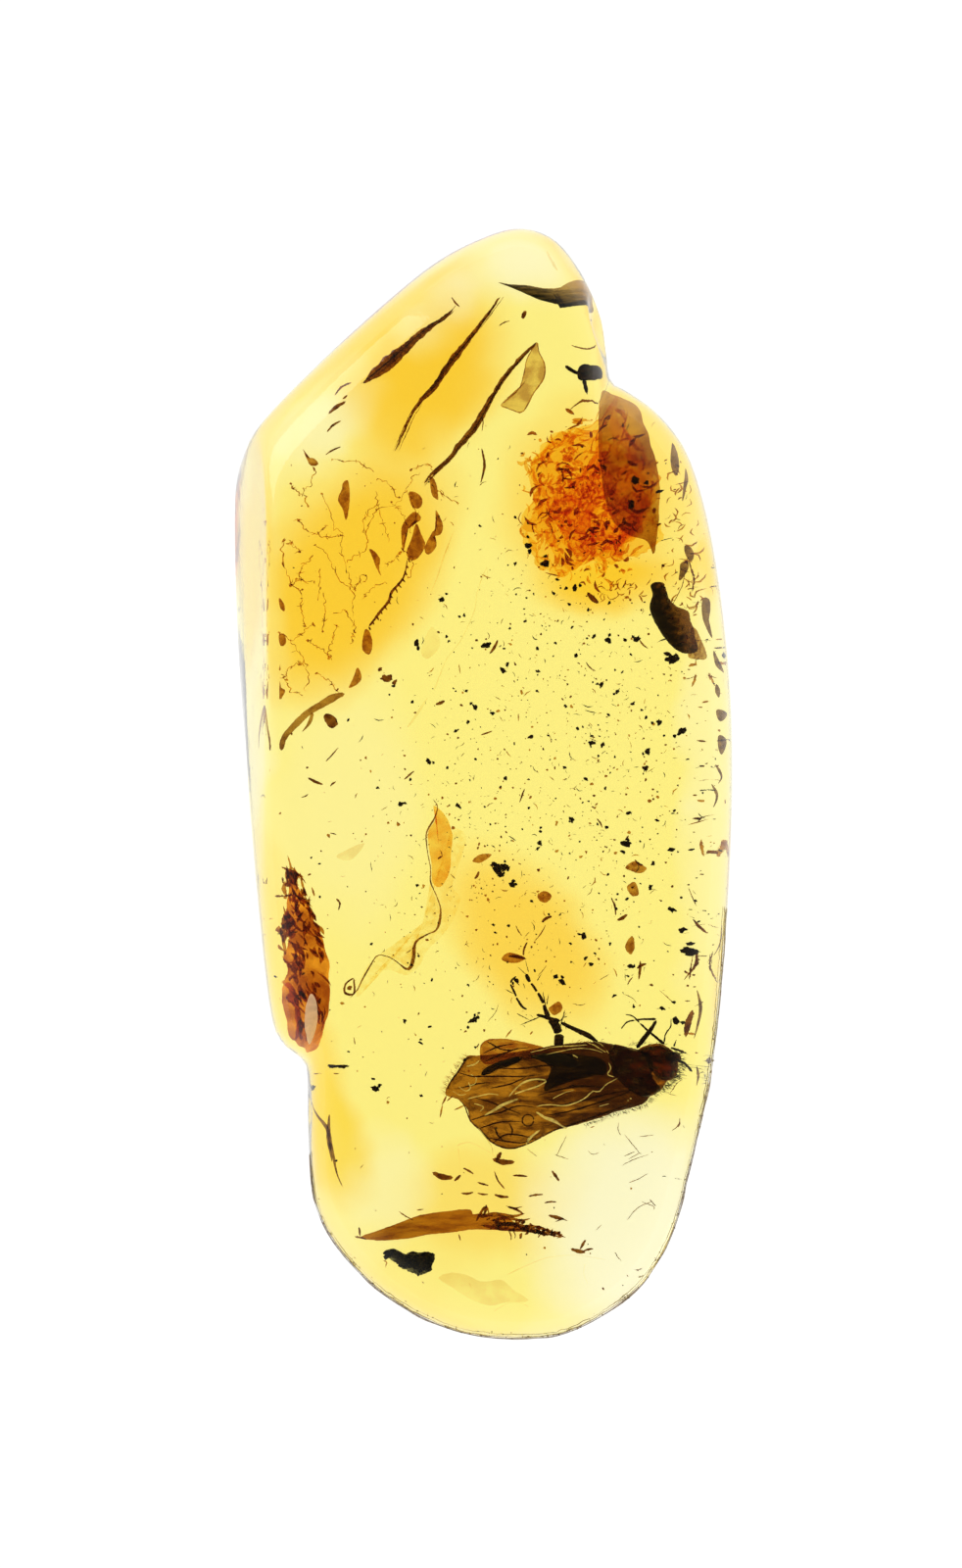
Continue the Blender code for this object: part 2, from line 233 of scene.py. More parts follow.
# %% [markdown]
# ## The stone
# Polished amber could be sculpted or cut with Booleans, but its form is one closed surface that
# swells from an outline, so it is a UV sphere whose points are moved: longitude picks a place on
# the outline and latitude picks a share of it and a height. The numbers are those of the solid, on
# a finer sphere. One flat from the polishing wheel pushes points back to a soft plane, and two chips
# press the surface onto balls.

# %% The stone's form
THICKNESS = 8.0
EQUATOR = 2.2
RESTING_SHARE = 0.86
RESTING_LATITUDE = 60.0
CROWN_POWER = 6.0
ROUND_POWER = 2.0
NOTCH_FADE = 0.16
WAVE_HEIGHT = 0.07
WAVE_LENGTH = 4.2
STONE_AROUND = 288
STONE_RINGS = 96

OUTLINE = (
    (8.1, 0.0), (8.0, 3.5), (7.6, 7.0), (7.1, 9.4), (6.5, 11.0), (5.6, 12.1), (4.7, 12.75), (4.15, 13.1),
    (4.0, 14.0), (3.8, 15.2), (3.2, 16.6), (2.3, 17.7), (1.2, 18.05), (0.0, 17.75), (-1.6, 16.9),
    (-3.5, 15.35), (-5.6, 13.4), (-7.3, 11.6), (-8.0, 10.2), (-8.15, 8.3), (-8.0, 4.5), (-7.7, 0.5),
    (-7.3, -4.0), (-6.9, -7.4), (-6.5, -8.4), (-5.85, -8.95), (-5.7, -9.6), (-5.65, -12.0), (-5.4, -13.8),
    (-4.5, -15.35), (-2.9, -16.8), (-0.9, -17.75), (1.1, -18.0), (2.9, -17.75), (4.9, -16.5),
    (6.1, -14.7), (6.8, -12.2), (7.4, -9.5), (7.7, -7.0), (7.95, -4.0),
)
FACETS = (
    (Vector((-0.97, 0.0, 0.22)), 8.44, 0.08),
)
CHIPS = (
    (Vector((6.3, 15.4, 6.4)), 2.9),
    (Vector((-7.7, -10.6, 6.0)), 2.2),
)


def rounded(latitude, power):
    """(share outwards, share upwards) at a latitude of a round or a squarish section."""
    angle = math.radians(latitude)
    out = max(math.cos(angle), 0.0) ** (2 / power)
    up = math.copysign(abs(math.sin(angle)) ** (2 / power), latitude)
    return (0.0 if abs(latitude) > 89.9 else out), up


def stone_profile(latitude):
    """The stone's section: a full crown, a rounded lower edge and a flat back."""
    if latitude >= 0:
        out, up = rounded(latitude, CROWN_POWER)
        return out, EQUATOR + (THICKNESS - EQUATOR) * up
    if -latitude < RESTING_LATITUDE:
        out, up = rounded(latitude * 90 / RESTING_LATITUDE, ROUND_POWER)
        return RESTING_SHARE + (1 - RESTING_SHARE) * out, EQUATOR * (1 + up)
    return RESTING_SHARE * (90 + latitude) / (90 - RESTING_LATITUDE), 0.0


def polished(point):
    """Where a point of the plain stone ends up: waved by hand polishing, flattened and chipped."""
    above = max(0.0, (point.z - EQUATOR) / (THICKNESS - EQUATOR))
    wave = noise.noise(point / WAVE_LENGTH) * WAVE_HEIGHT * min(1.0, 2 * above)
    moved = point + Vector((0, 0, wave))
    for direction, distance, soft in FACETS:
        normal = direction.normalized()
        over = (normal.dot(moved) - distance) / soft
        moved = moved - normal * soft * math.log1p(math.exp(over))
    for centre, radius in CHIPS:
        away = moved - centre
        if away.length < radius:
            moved = centre + away.normalized() * radius
    return moved


def sphere_to_form(bm, outline, centre, profile, around, rings, softness=0.0):
    """Adds a sphere drawn out to an outline. profile turns a latitude in degrees into (share of
    the outline, height). softness is the share of the outline over which its notches fade out on
    the way to the middle."""
    ring = even_points(outline, around, closed=True)
    reach = round(softness * around / 2)
    near = range(-reach, reach + 1)
    soft = [sum((ring[(i + k) % around] for k in near), Vector((0, 0))) / len(near)
            for i in range(around)]
    made = bmesh.ops.create_uvsphere(bm, u_segments=around, v_segments=rings, radius=1.0)
    for vert in made["verts"]:
        latitude = round(math.degrees(math.asin(max(-1.0, min(1.0, vert.co.z)))), 2)
        turn = math.atan2(vert.co.y, vert.co.x) / math.tau
        at = round(turn * around) % around
        share, height = profile(latitude)
        edge = soft[at].lerp(ring[at], share)
        flat = Vector(centre) + (edge - Vector(centre)) * share
        vert.co = Vector((flat.x, flat.y, height))
    return made["verts"]


stone_mesh = bmesh.new()
stone_verts = sphere_to_form(
    stone_mesh, OUTLINE, (0, 0), stone_profile, STONE_AROUND, STONE_RINGS, NOTCH_FADE)
for vert in stone_verts:
    if vert.co.z > 0:
        vert.co = polished(vert.co)
stone_top = BVHTree.FromBMesh(stone_mesh)
print("the stone's widest:", max(v.co.x for v in stone_mesh.verts), "mm")

# %% [markdown]
# ## Seeing through the stone
# Small things inside are placed by where they show in the photograph. The crown bends light as a
# lens does, so a thing near the rim isn't under the pixel where it shows. A ray is sent from the
# camera through the pixel, bent at the crown by Snell's law, and followed down to the height where
# the thing lies. Heights are ours to choose: the solids put the insect level with the parting.

# %% From a pixel to a place
PIXELS_PER_MM = 31.25
ORIGIN_PIXEL = (493.0, 800.5)
LEVEL = 4.4  # height of the parting of the two solid halves
AMBER_IOR = 1.54
CAMERA_DISTANCE = 350.0
CAMERA_PIXEL = (491, 800)
EYE_PIXEL = (686, 1078)  # the insect's eye
MIDRIFF_PIXEL = (600, 1100)
SLOPE_STEP = 0.3  # half the distance over which the crown's slope is measured
RIM_SLOPE = 0.8  # the slope taken where the crown ends
MOST_SHIFT = 1.2  # the furthest that bending may move a scrap, in millimetres
SKYWARD = 30  # a height over everything
RIM_LIFT = 0.9  # near the rim the crown smears what lies deep, so scraps there lie this much higher


def flat_place(pixel):
    """The point level with the stone's widest that would show at a pixel with no stone there."""
    across, along = pixel[0] - ORIGIN_PIXEL[0], ORIGIN_PIXEL[1] - pixel[1]
    return Vector((across / PIXELS_PER_MM, along / PIXELS_PER_MM, EQUATOR))


CAMERA_EYE = flat_place(CAMERA_PIXEL) + Vector((0, 0, CAMERA_DISTANCE))


def crown_height(x, y):
    hit = stone_top.ray_cast(Vector((x, y, SKYWARD)), Vector((0, 0, -1)))[0]
    return hit.z if hit else None


def spot(pixel, above=0.0):
    """The place in millimetres that shows at a pixel, at a height over the insect's level."""
    base = flat_place(pixel)
    ray = (base - CAMERA_EYE).normalized()
    plain = base.lerp(CAMERA_EYE, (LEVEL + above - EQUATOR) / CAMERA_DISTANCE)
    hit = stone_top.ray_cast(CAMERA_EYE, ray)[0]
    if not hit:
        return plain
    west, east = crown_height(hit.x - SLOPE_STEP, hit.y), crown_height(hit.x + SLOPE_STEP, hit.y)
    south, north = crown_height(hit.x, hit.y - SLOPE_STEP), crown_height(hit.x, hit.y + SLOPE_STEP)
    if None in (west, east, south, north):
        slope = hit.to_2d().normalized() * RIM_SLOPE
    else:
        slope = Vector((west - east, south - north)) / (2 * SLOPE_STEP)
    normal = Vector((slope.x, slope.y, 1)).normalized()
    bend = 1 / AMBER_IOR
    facing = -ray.dot(normal)
    inner = ray * bend + normal * (bend * facing - math.sqrt(1 - bend * bend * (1 - facing * facing)))
    true = hit + inner * ((LEVEL + above - hit.z) / inner.z)
    shift = true - plain
    if shift.length > MOST_SHIFT:
        shift = shift.normalized() * MOST_SHIFT
    return plain + shift


def flat_spots(pixels, above=0.0):
    """The same for a list of pixels, without the height."""
    return [spot(p, above).to_2d() for p in pixels]


print("the insect's eye shows at", flat_place(EYE_PIXEL), "and lies at", spot(EYE_PIXEL), "mm")

# %% [markdown]
# ## The amber's colour
# Amber is coloured glass with a low refractive index. The shader is plain glass, and the yellow
# comes from absorption: blue light dies on its way through, so thick places are deeper. Real amber
# also has bands of deeper resin, one for each flow down the trunk. Those are soft masks on the
# base colour, centred where the stone shows them and bent by noise so they have no neat edge.

# %% Amber
AMBER_ABSORPTION = (1.0, 0.975, 0.50)
AMBER_DENSITY = 110.0  # per metre
PALE_RESIN = (1.0, 0.98, 0.92)
GOLDEN_RESIN = (1.0, 0.90, 0.36)
DEEP_RESIN = (0.98, 0.62, 0.04)
RIM_CRUST_AND_SHADE = (0.40, 0.33, 0.24)  # the band round the lower end, darker for its crust and for painted shade on its thick rim
RIM_TOP = (5.7, 5.3)  # heights between which the band fades in
RIM_BOTTOM = (2.0, 2.6)
WANDER_MM = (3.5, 2.6)  # sizes of the noise that bends the flows across and along the stone
WANDER_REACH = 2.4
FLOW_FADE = (1.7, 0.15)  # squares of the distance from its middle between which a flow fades in
PALE_OVER_DEEP = 0.8
AMBER_ROUGHNESS = 0.015
RUB_DEPTH = 0.006
# Flows of deeper resin: middle and half widths in millimetres, turn in degrees, strength
DEEP_FLOWS = (
    ((-1.7, 13.1), (2.7, 2.0), 45, 0.95), ((-4.2, 6.7), (4.4, 2.4), 58, 0.95),
    ((3.3, 9.0), (2.6, 3.2), 0, 0.7), ((1.3, -5.0), (3.2, 2.0), -50, 0.75),
    ((-5.0, -10.5), (1.0, 3.0), 8, 1.0), ((0.2, -13.4), (2.5, 1.6), 0, 0.45),
    ((4.1, 6.5), (2.2, 0.9), 0, 0.45), ((-7.3, -5.0), (1.4, 3.6), 0, 0.5),
)
# Pale resin near the rim
PALE_FLOWS = (
    ((-8.2, 3.0), (1.4, 9.5), -5, 1.0), ((5.0, -14.2), (3.2, 3.8), 25, 1.0),
    ((1.2, 17.6), (2.6, 1.9), 0, 1.0), ((-4.7, 16.0), (1.8, 4.8), -47, 1.0),
    ((7.6, 3.0), (1.1, 9.0), -3, 0.8), ((-4.2, -0.4), (2.2, 4.0), 0, 0.2),
    ((-3.1, -12.9), (1.4, 1.5), 0, 0.35), ((-1.5, 15.5), (1.5, 1.6), -40, 0.6),
    ((-4.9, 11.4), (2.2, 1.0), 35, 0.5),
)


def flow_mask(recipe, x, y, flows):
    """1 in the middle of the named flows, fading to 0 at their edges."""
    total = 0.0
    for middle, size, turn, strength in flows:
        cos, sin = math.cos(math.radians(turn)), math.sin(math.radians(turn))
        along = ((x - middle[0]) * cos + (y - middle[1]) * sin) / size[0]
        across = ((y - middle[1]) * cos - (x - middle[0]) * sin) / size[1]
        total = (along ** 2 + across ** 2).between(*FLOW_FADE) * strength + total
    return total.sum("MINIMUM", total, 1.0)


def amber():
    recipe = Recipe("amber")
    x, y, height = recipe.millimetres()
    x = x + (recipe.noise(WANDER_MM[0], detail=2.0) - 0.5) * WANDER_REACH
    y = y + (recipe.noise(WANDER_MM[1], detail=2.0) - 0.5) * WANDER_REACH
    deep = flow_mask(recipe, x, y, DEEP_FLOWS)
    pale = flow_mask(recipe, x, y, PALE_FLOWS)
    colour = recipe.mix(pale, GOLDEN_RESIN, PALE_RESIN)
    colour = recipe.mix(deep * (1 - pale * PALE_OVER_DEEP), colour, DEEP_RESIN)
    # Painted shade in part: the lower end's rounded side turns grey-brown, for its crust and for the
    # shadow on its thick rim.
    lower_right = (x * 0.55 - y).between(9.0, 13.0)
    rim = height.between(*RIM_TOP) * height.between(*RIM_BOTTOM) * lower_right
    colour = recipe.mix(rim, colour, RIM_CRUST_AND_SHADE)
    rub = recipe.noise(0.8, detail=4.0)
    glass = recipe.node(
        "ShaderNodeBsdfPrincipled", {}, {
            "Base Color": colour, "Roughness": AMBER_ROUGHNESS, "IOR": AMBER_IOR,
            "Transmission Weight": 1.0, "Normal": recipe.bump(rub, RUB_DEPTH)})
    absorbed = recipe.node(
        "ShaderNodeVolumeAbsorption", {}, {"Color": AMBER_ABSORPTION, "Density": AMBER_DENSITY})
    recipe.feed(recipe.output.inputs["Volume"], absorbed)
    return recipe.surface(glass)


finish_piece("amber_stone", stone_mesh, amber(), ("amber_crown", "amber_base"))

# %% [markdown]
# ## Building blocks for small things
# Everything in the resin is one of three forms. A hair, leg, shred or crack is a strand: a UV sphere
# whose rings are strung along a curve, which gives pointed closed ends for free. A wing, scale or
# film is a sheet: the stone's own trick with a thin profile. A speck or crumb is a small icosphere,
# squashed, turned and dented. Curves with a bevel could make the strands, but a mesh with few faces
# costs less when there are a thousand of them.

# %% Strands, sheets and crumbs
def strand(bm, points, widths, sides=6, steps=10, flatness=1.0):
    """Adds a tapered rod along points. widths are its half widths at even steps along it."""
    line = even_points(points, steps + 1, closed=False)
    for vert in bmesh.ops.create_uvsphere(bm, u_segments=sides, v_segments=steps, radius=1.0)["verts"]:
        at = round(steps * math.acos(max(-1.0, min(1.0, vert.co.z))) / math.pi)
        turn = math.atan2(vert.co.y, vert.co.x)
        reached = at / steps * (len(widths) - 1)
        low = min(int(reached), len(widths) - 2)
        wide = widths[low] + (widths[low + 1] - widths[low]) * (reached - low)
        if at in (0, steps):
            wide = 0.0
        ahead = line[min(at + 1, steps)] - line[max(at - 1, 0)]
        across = ahead.cross(Vector((0, 0, 1))).normalized()
        up = across.cross(ahead).normalized() * flatness
        vert.co = line[at] + (across * math.cos(turn) + up * math.sin(turn)) * wide


def along(pixels, above=0.0, end_above=None):
    """Places along a row of pixels, rising or sinking evenly to a second height if one is given."""
    last = above if end_above is None else end_above
    steps = max(len(pixels) - 1, 1)
    return [spot(p, above + (last - above) * i / steps) for i, p in enumerate(pixels)]


def sheet(bm, pixels, above, half_thickness, around=64, rings=16, power=2.4, ripple=0.0):
    """Adds a closed lens with that outline."""
    outline = flat_spots(pixels, above)
    centre = sum(outline, Vector((0, 0))) / len(outline)

    def profile(latitude):
        out, up = rounded(latitude, power)
        return out, LEVEL + above + half_thickness * up

    made = sphere_to_form(bm, outline, centre, profile, around, rings)
    for vert in made:
        vert.co.z += ripple * noise.noise(Vector((vert.co.x * 1.6, vert.co.y * 3.2, above)))
    return made


def sheet_piece(name, pixels, above, half_thickness, material, slot, stands_for=(), **form):
    """A finished piece that is one sheet."""
    bm = bmesh.new()
    sheet(bm, pixels, above, half_thickness, **form)
    finish_piece(name, bm, material, stands_for)


def crumb(bm, place, size, rng, dents=0.3, fine=1):
    """Adds a small dented lump, turned at random. size holds its three half widths."""
    made = bmesh.ops.create_icosphere(bm, subdivisions=fine, radius=1.0)["verts"]
    seed = Vector((rng.random(), rng.random(), rng.random())) * 50
    turn = Matrix.Rotation(rng.uniform(0, math.tau), 3, "Z")
    turn = turn @ Matrix.Rotation(rng.uniform(-0.5, 0.5), 3, "X")
    for vert in made:
        dented = vert.co * (1 + dents * noise.noise(vert.co * 1.3 + seed) * 2)
        vert.co = Vector(place) + turn @ Vector([c * s for c, s in zip(dented, size)])


def wisp(bm, place, length, half_width, rng, bend=0.5, lie=None, rise=0.3):
    """Adds a short curved strand through a place, in direction lie or any direction."""
    direction = rng.uniform(0, math.tau) if lie is None else lie
    ahead = Vector((math.cos(direction), math.sin(direction), rng.uniform(-rise, rise))) * length / 2
    side = Vector((-ahead.y, ahead.x, 0)) * rng.uniform(-bend, bend)
    points = [place - ahead, place + side, place + ahead]
    widths = (half_width * 0.5, half_width, half_width * 0.6)
    strand(bm, points, widths, sides=4, steps=4, flatness=0.5)


stone_ring = even_points(OUTLINE, 120, closed=True)


def well_inside(x, y, margin=1.1):
    """Whether a place lies inside the stone's outline, with some resin round it."""
    x, y = x * margin, y * (1 + (margin - 1) / 2)
    inside = False
    for a, b in zip(stone_ring, stone_ring[1:] + stone_ring[:1]):
        if (a.y > y) != (b.y > y) and x < (b.x - a.x) * (y - a.y) / (b.y - a.y) + a.x:
            inside = not inside
    return inside


print("the insect lies well inside:", well_inside(*spot(MIDRIFF_PIXEL).to_2d()))

# %% [markdown]
# ## Stains and husks
# Thin dead things in amber are lit from behind, so what the eye sees is the light that they let
# through. A stained material is a mix: a see-through part that only tints, a darker tint in its
# grain, and a matte part that blocks. The tints are constants, and noise moves the mix between
# them. Black specks let nothing through and are plain matte.

# %% Materials of the scraps
def matte(recipe, colour, roughness=0.6, **more):
    return recipe.node(
        "ShaderNodeBsdfPrincipled", {}, {
            "Base Color": colour, "Roughness": roughness, "Specular IOR Level": 0.1, **more})


def tinted(recipe, tint):
    return recipe.node("ShaderNodeBsdfTransparent", {}, {"Color": (*tint, 1.0)})


def blended(recipe, share, first, second):
    return recipe.node("ShaderNodeMixShader", {}, {0: share, 1: first, 2: second})


def stained(name, light, dark, body, solid=0.15, grain_mm=0.22, stretch=(1, 1, 1), spread=(0.4, 0.62)):
    """A thin scrap that light shines through: a light tint, a dark one in its grain, and a body."""
    recipe = Recipe(name)
    grain = recipe.noise(grain_mm, detail=4.0, stretch=stretch)
    veil = blended(recipe, grain.between(*spread), tinted(recipe, light), tinted(recipe, dark))
    skin = matte(recipe, recipe.mix(grain, body, [c * 0.5 for c in body]), 0.5,
                 Normal=recipe.bump(grain, 0.02))
    return recipe.surface(blended(recipe, solid, veil, skin))


def painted_glow_film(name, tint, body, glow, strength, least, grain_mm, roughness):
    """A pale film, denser where its noise is high, with a painted glow for the light it catches."""
    recipe = Recipe(name)
    solid = recipe.noise(grain_mm).between(0.3, 0.7) * 0.4 + least
    skin = matte(recipe, body, roughness, **{"Emission Color": glow, "Emission Strength": strength})
    return recipe.surface(blended(recipe, solid, tinted(recipe, tint), skin))


def dark_matter(name, colour, second, roughness=0.55, grain_mm=0.12, depth_mm=0.02):
    """An opaque scrap with a slight grain."""
    recipe = Recipe(name)
    grain = recipe.noise(grain_mm, detail=4.0)
    colour = recipe.mix(grain.between(0.35, 0.7), colour, second)
    return recipe.surface(matte(recipe, colour, roughness, Normal=recipe.bump(grain, depth_mm)))


INK = dark_matter("black_speck", (0.012, 0.008, 0.004), (0.05, 0.02, 0.006))
UMBER = stained("dark_husk", (0.58, 0.36, 0.14), (0.34, 0.17, 0.05), (0.20, 0.09, 0.02), solid=0.22)
HUSK = stained("brown_husk", (0.80, 0.58, 0.28), (0.55, 0.32, 0.12), (0.35, 0.17, 0.04), solid=0.12)
HONEY = stained("honey_film", (0.995, 0.98, 0.93), (0.98, 0.93, 0.80), (0.60, 0.42, 0.16), solid=0.0)
print("stains:", ", ".join(m.name for m in (INK, UMBER, HUSK, HONEY)))

# %% [markdown]
# ## The caddisfly's wings
# The insect lies on its side under folded wings, which look like one brown roof. They are a swollen
# sheet of their outline, as the solid is, with ripples where the membrane puckers. Brown deepens
# towards the head, because more layers lie under it there, so the mix follows a mask along the
# insect as well as the streaks of the veins. A lobe of hindwing peeps out above.

# %% Wings
WING_EDGE = (
    (478, 1077), (489, 1077), (513, 1075), (541, 1071), (553, 1069), (568, 1066), (588, 1064),
    (609, 1063), (623, 1065), (638, 1068), (651, 1071), (663, 1075), (667, 1087), (666, 1098),
    (675, 1112), (666, 1116), (657, 1126), (646, 1130), (628, 1135), (608, 1142), (588, 1148),
    (577, 1151), (568, 1153), (557, 1159), (541, 1167), (527, 1172), (515, 1172), (503, 1167),
    (495, 1160), (489, 1152), (480, 1143), (478, 1134), (474, 1128), (468, 1122), (456, 1118),
    (455, 1112), (460, 1102), (466, 1094), (473, 1083),
)
HINDWING_EDGE = (
    (490, 1071), (491, 1066), (497, 1061), (509, 1060), (523, 1061), (537, 1064), (553, 1068),
    (565, 1074), (547, 1080), (529, 1082), (517, 1083), (507, 1085), (495, 1086), (490, 1079),
)
WING_HALF_THICKNESS = 0.9
WING_BROWN = 0.19  # how brown the wings are before their patterns are added
HEAD_SHARE = 0.75
EDGE_SHARE = 0.4
STREAK_SHARE = 3.6
BLOTCH_SHARE = 1.8


def wing_membrane():
    recipe = Recipe("wing_membrane")
    x, y, _ = recipe.millimetres()
    streaks = recipe.noise(0.42, detail=5.0, roughness=0.62, distortion=0.6, stretch=(0.3, 1.3, 1.0))
    blotches = recipe.noise(0.9, detail=3.0)
    to_head = (x + (y + 10.0) * 0.5).between(0.6, 4.6)
    low_edge = (y * -1.0 - x * 0.30).between(9.2, 10.6) * x.between(1.6, 2.6)
    dark = to_head * HEAD_SHARE + low_edge * EDGE_SHARE + (streaks - 0.5) * STREAK_SHARE
    dark = (dark + (blotches - 0.5) * BLOTCH_SHARE + WING_BROWN).between(0.0, 1.0)
    veil = blended(recipe, dark, tinted(recipe, (0.66, 0.44, 0.16)), tinted(recipe, (0.26, 0.12, 0.03)))
    skin = matte(recipe, recipe.mix(dark, (0.42, 0.19, 0.02), (0.06, 0.025, 0.004)), 0.42,
                 Normal=recipe.bump(streaks, 0.05))
    return recipe.surface(blended(recipe, dark * 0.30 + 0.05, veil, skin))


wings = bmesh.new()
sheet(wings, WING_EDGE, 0.0, WING_HALF_THICKNESS, around=240, rings=48, power=2.3, ripple=0.10)
wing_roof = BVHTree.FromBMesh(wings)
finish_piece("caddisfly_wings", wings, wing_membrane(), ("caddisfly",))

sheet_piece("caddisfly_hindwing", HINDWING_EDGE, 0.1, 0.3, stained(
    "hindwing_membrane", (0.78, 0.56, 0.24), (0.55, 0.28, 0.09), (0.40, 0.18, 0.03), solid=0.10,
    grain_mm=0.3, stretch=(0.4, 1.2, 1)), "insect", around=96, rings=20, ripple=0.06)

# %% [markdown]
# ## Body, head and dark cells
# Under the roof lie the dark abdomen, which shows as a blunt wedge, the thorax and the bristly head.
# Each is a thicker sheet close under the wing's top. Their brown is almost black but lets a little
# red through at thin places.

# %% Body
ABDOMEN_EDGE = (
    (541, 1078), (557, 1075), (572, 1074), (588, 1076), (604, 1078), (614, 1081), (619, 1086),
    (620, 1091), (617, 1097), (608, 1097), (598, 1100), (588, 1102), (576, 1106), (566, 1110),
    (556, 1114), (556, 1106), (560, 1098), (562, 1089), (553, 1083),
)
THORAX_EDGE = (
    (626, 1066), (638, 1068), (649, 1071), (663, 1068), (674, 1067), (684, 1071), (690, 1078),
    (691, 1088), (688, 1098), (681, 1103), (675, 1112), (666, 1118), (655, 1119), (642, 1112),
    (632, 1103), (625, 1096), (625, 1086), (621, 1077),
)
HEAD_EDGE = (
    (652, 1071), (663, 1066), (674, 1065), (684, 1070), (691, 1078), (692, 1088), (690, 1098),
    (682, 1103), (672, 1100), (664, 1090), (658, 1080),
)
CELL_EDGE = (
    (491, 1097), (495, 1090), (505, 1085), (517, 1081), (529, 1078), (531, 1083), (520, 1088),
    (509, 1091), (499, 1096),
)
EYE_HEIGHTS = (0.55, -0.25)
EYE_RADIUS = 0.17


def chitin(name, tint, body, solid_low, solid_high):
    """Dark insect skin. Where its noise is low, a little light comes through."""
    recipe = Recipe(name)
    mottle = recipe.noise(0.25, detail=4.0, roughness=0.65, stretch=(0.6, 1, 1))
    skin = matte(recipe, recipe.mix(mottle, body, [c * 2.2 for c in body]), 0.36,
                 Normal=recipe.bump(mottle, 0.03))
    solid = mottle.between(0.38, 0.66) * (solid_high - solid_low) + solid_low
    return recipe.surface(blended(recipe, solid, tinted(recipe, tint), skin))


body = bmesh.new()
sheet(body, ABDOMEN_EDGE, 0.5, 0.30, around=72, rings=16)
sheet(body, CELL_EDGE, 0.55, 0.12, around=40, rings=10)
finish_piece("caddisfly_abdomen", body, chitin(
    "abdomen_skin", (0.34, 0.20, 0.10), (0.012, 0.006, 0.003), 0.86, 0.97))
front = bmesh.new()
sheet(front, THORAX_EDGE, 0.25, 0.62, around=80, rings=20, ripple=0.12)
sheet(front, HEAD_EDGE, 0.2, 0.55, around=60, rings=16, ripple=0.08)
for height in EYE_HEIGHTS:
    centre = spot(EYE_PIXEL, height)
    ball = bmesh.ops.create_uvsphere(front, u_segments=24, v_segments=16, radius=EYE_RADIUS)
    for vert in ball["verts"]:
        vert.co += centre
finish_piece("caddisfly_front", front, chitin(
    "head_and_thorax_skin", (0.62, 0.36, 0.13), (0.045, 0.020, 0.005), 0.10, 0.80))

# %% [markdown]
# ## Legs and feelers
# A leg is a row of stiff segments with a pale joint between each two, so every segment is its own
# strand, thickest where its muscle is. The pixels are those of the joints. Spurs and claws are thin
# strands set on them.

# %% Legs
# Each segment: its pixels, half widths in millimetres, and the heights of its two ends
LEG_SEGMENTS = (
    (((611, 1065), (601, 1057), (586, 1050), (572, 1043)), (0.05, 0.085, 0.07, 0.055), 0.1, 0.45),
    (((572, 1042), (560, 1039), (547, 1035)), (0.06, 0.065, 0.045), 0.45, 0.5),
    (((538, 1030), (533, 1027), (527, 1018)), (0.03, 0.04, 0.03), 0.5, 0.5),
    (((527, 1017), (523, 1008), (521, 1004)), (0.03, 0.035, 0.028), 0.5, 0.45),
    (((521, 1003), (523, 999), (527, 996)), (0.03, 0.03, 0.02), 0.45, 0.4),
    (((570, 1066), (571, 1057)), (0.15, 0.15), 0.1, 0.3),
    (((570, 1054), (567, 1046), (561, 1040)), (0.13, 0.14, 0.09), 0.3, 0.5),
    (((560, 1038), (557, 1031), (555, 1025)), (0.08, 0.075, 0.055), 0.5, 0.6),
    (((555, 1024), (552, 1018), (549, 1013)), (0.055, 0.055, 0.04), 0.6, 0.6),
    (((548, 1012), (545, 1007), (542, 1003)), (0.045, 0.045, 0.035), 0.6, 0.6),
    (((541, 1002), (539, 998), (537, 994)), (0.04, 0.07, 0.05), 0.6, 0.55),
    (((650, 1070), (654, 1064), (664, 1051), (670, 1041)), (0.05, 0.075, 0.06, 0.04), 0.2, 0.5),
    (((670, 1040), (658, 1040), (648, 1041)), (0.04, 0.035, 0.028), 0.5, 0.6),
    (((648, 1041), (640, 1043), (634, 1050)), (0.028, 0.025, 0.018), 0.6, 0.5),
    (((679, 1066), (663, 1053), (653, 1044)), (0.05, 0.035, 0.028), 0.1, 0.3),
    (((653, 1044), (646, 1037), (638, 1035)), (0.028, 0.022, 0.016), 0.3, 0.3),
    (((678, 1064), (680, 1055), (685, 1047), (685, 1039)), (0.02, 0.018, 0.016, 0.010), 0.2, 0.3),
    (((688, 1068), (691, 1061)), (0.02, 0.008), 0.1, 0.2),
    (((685, 1069), (694, 1072), (702, 1075)), (0.035, 0.035, 0.02), 0.1, 0.6),
    (((691, 1080), (701, 1086), (709, 1094)), (0.03, 0.03, 0.02), 0.1, 0.8),
)
# Spurs and bristles: two pixels and a half width
SPURS = (
    ((557, 1027), (554, 1011), 0.022), ((558, 1026), (560, 1014), 0.018),
    ((572, 1048), (577, 1029), 0.020), ((571, 1043), (579, 1033), 0.016),
    ((576, 1041), (578, 1051), 0.016), ((553, 1037), (530, 1046), 0.022),
    ((527, 1034), (541, 1041), 0.020), ((524, 1014), (515, 1009), 0.018), ((538, 995), (528, 986), 0.014),
    ((540, 993), (536, 979), 0.014), ((525, 1000), (531, 1006), 0.022), ((534, 1003), (536, 1009), 0.020),
    ((548, 1001), (553, 993), 0.018), ((588, 1052), (594, 1057), 0.014),
)
LEG_SKIN = dark_matter("leg_skin", (0.022, 0.011, 0.004), (0.09, 0.04, 0.012), roughness=0.4)

legs = bmesh.new()
for pixels, widths, start, end in LEG_SEGMENTS:
    strand(legs, along(pixels, start, end), widths, sides=12, steps=14)
for root, tip, half in SPURS:
    strand(legs, along((root, tip), 0.45, 0.6), (half, half * 0.8, half * 0.3), sides=5, steps=5)
finish_piece("caddisfly_legs", legs, LEG_SKIN)
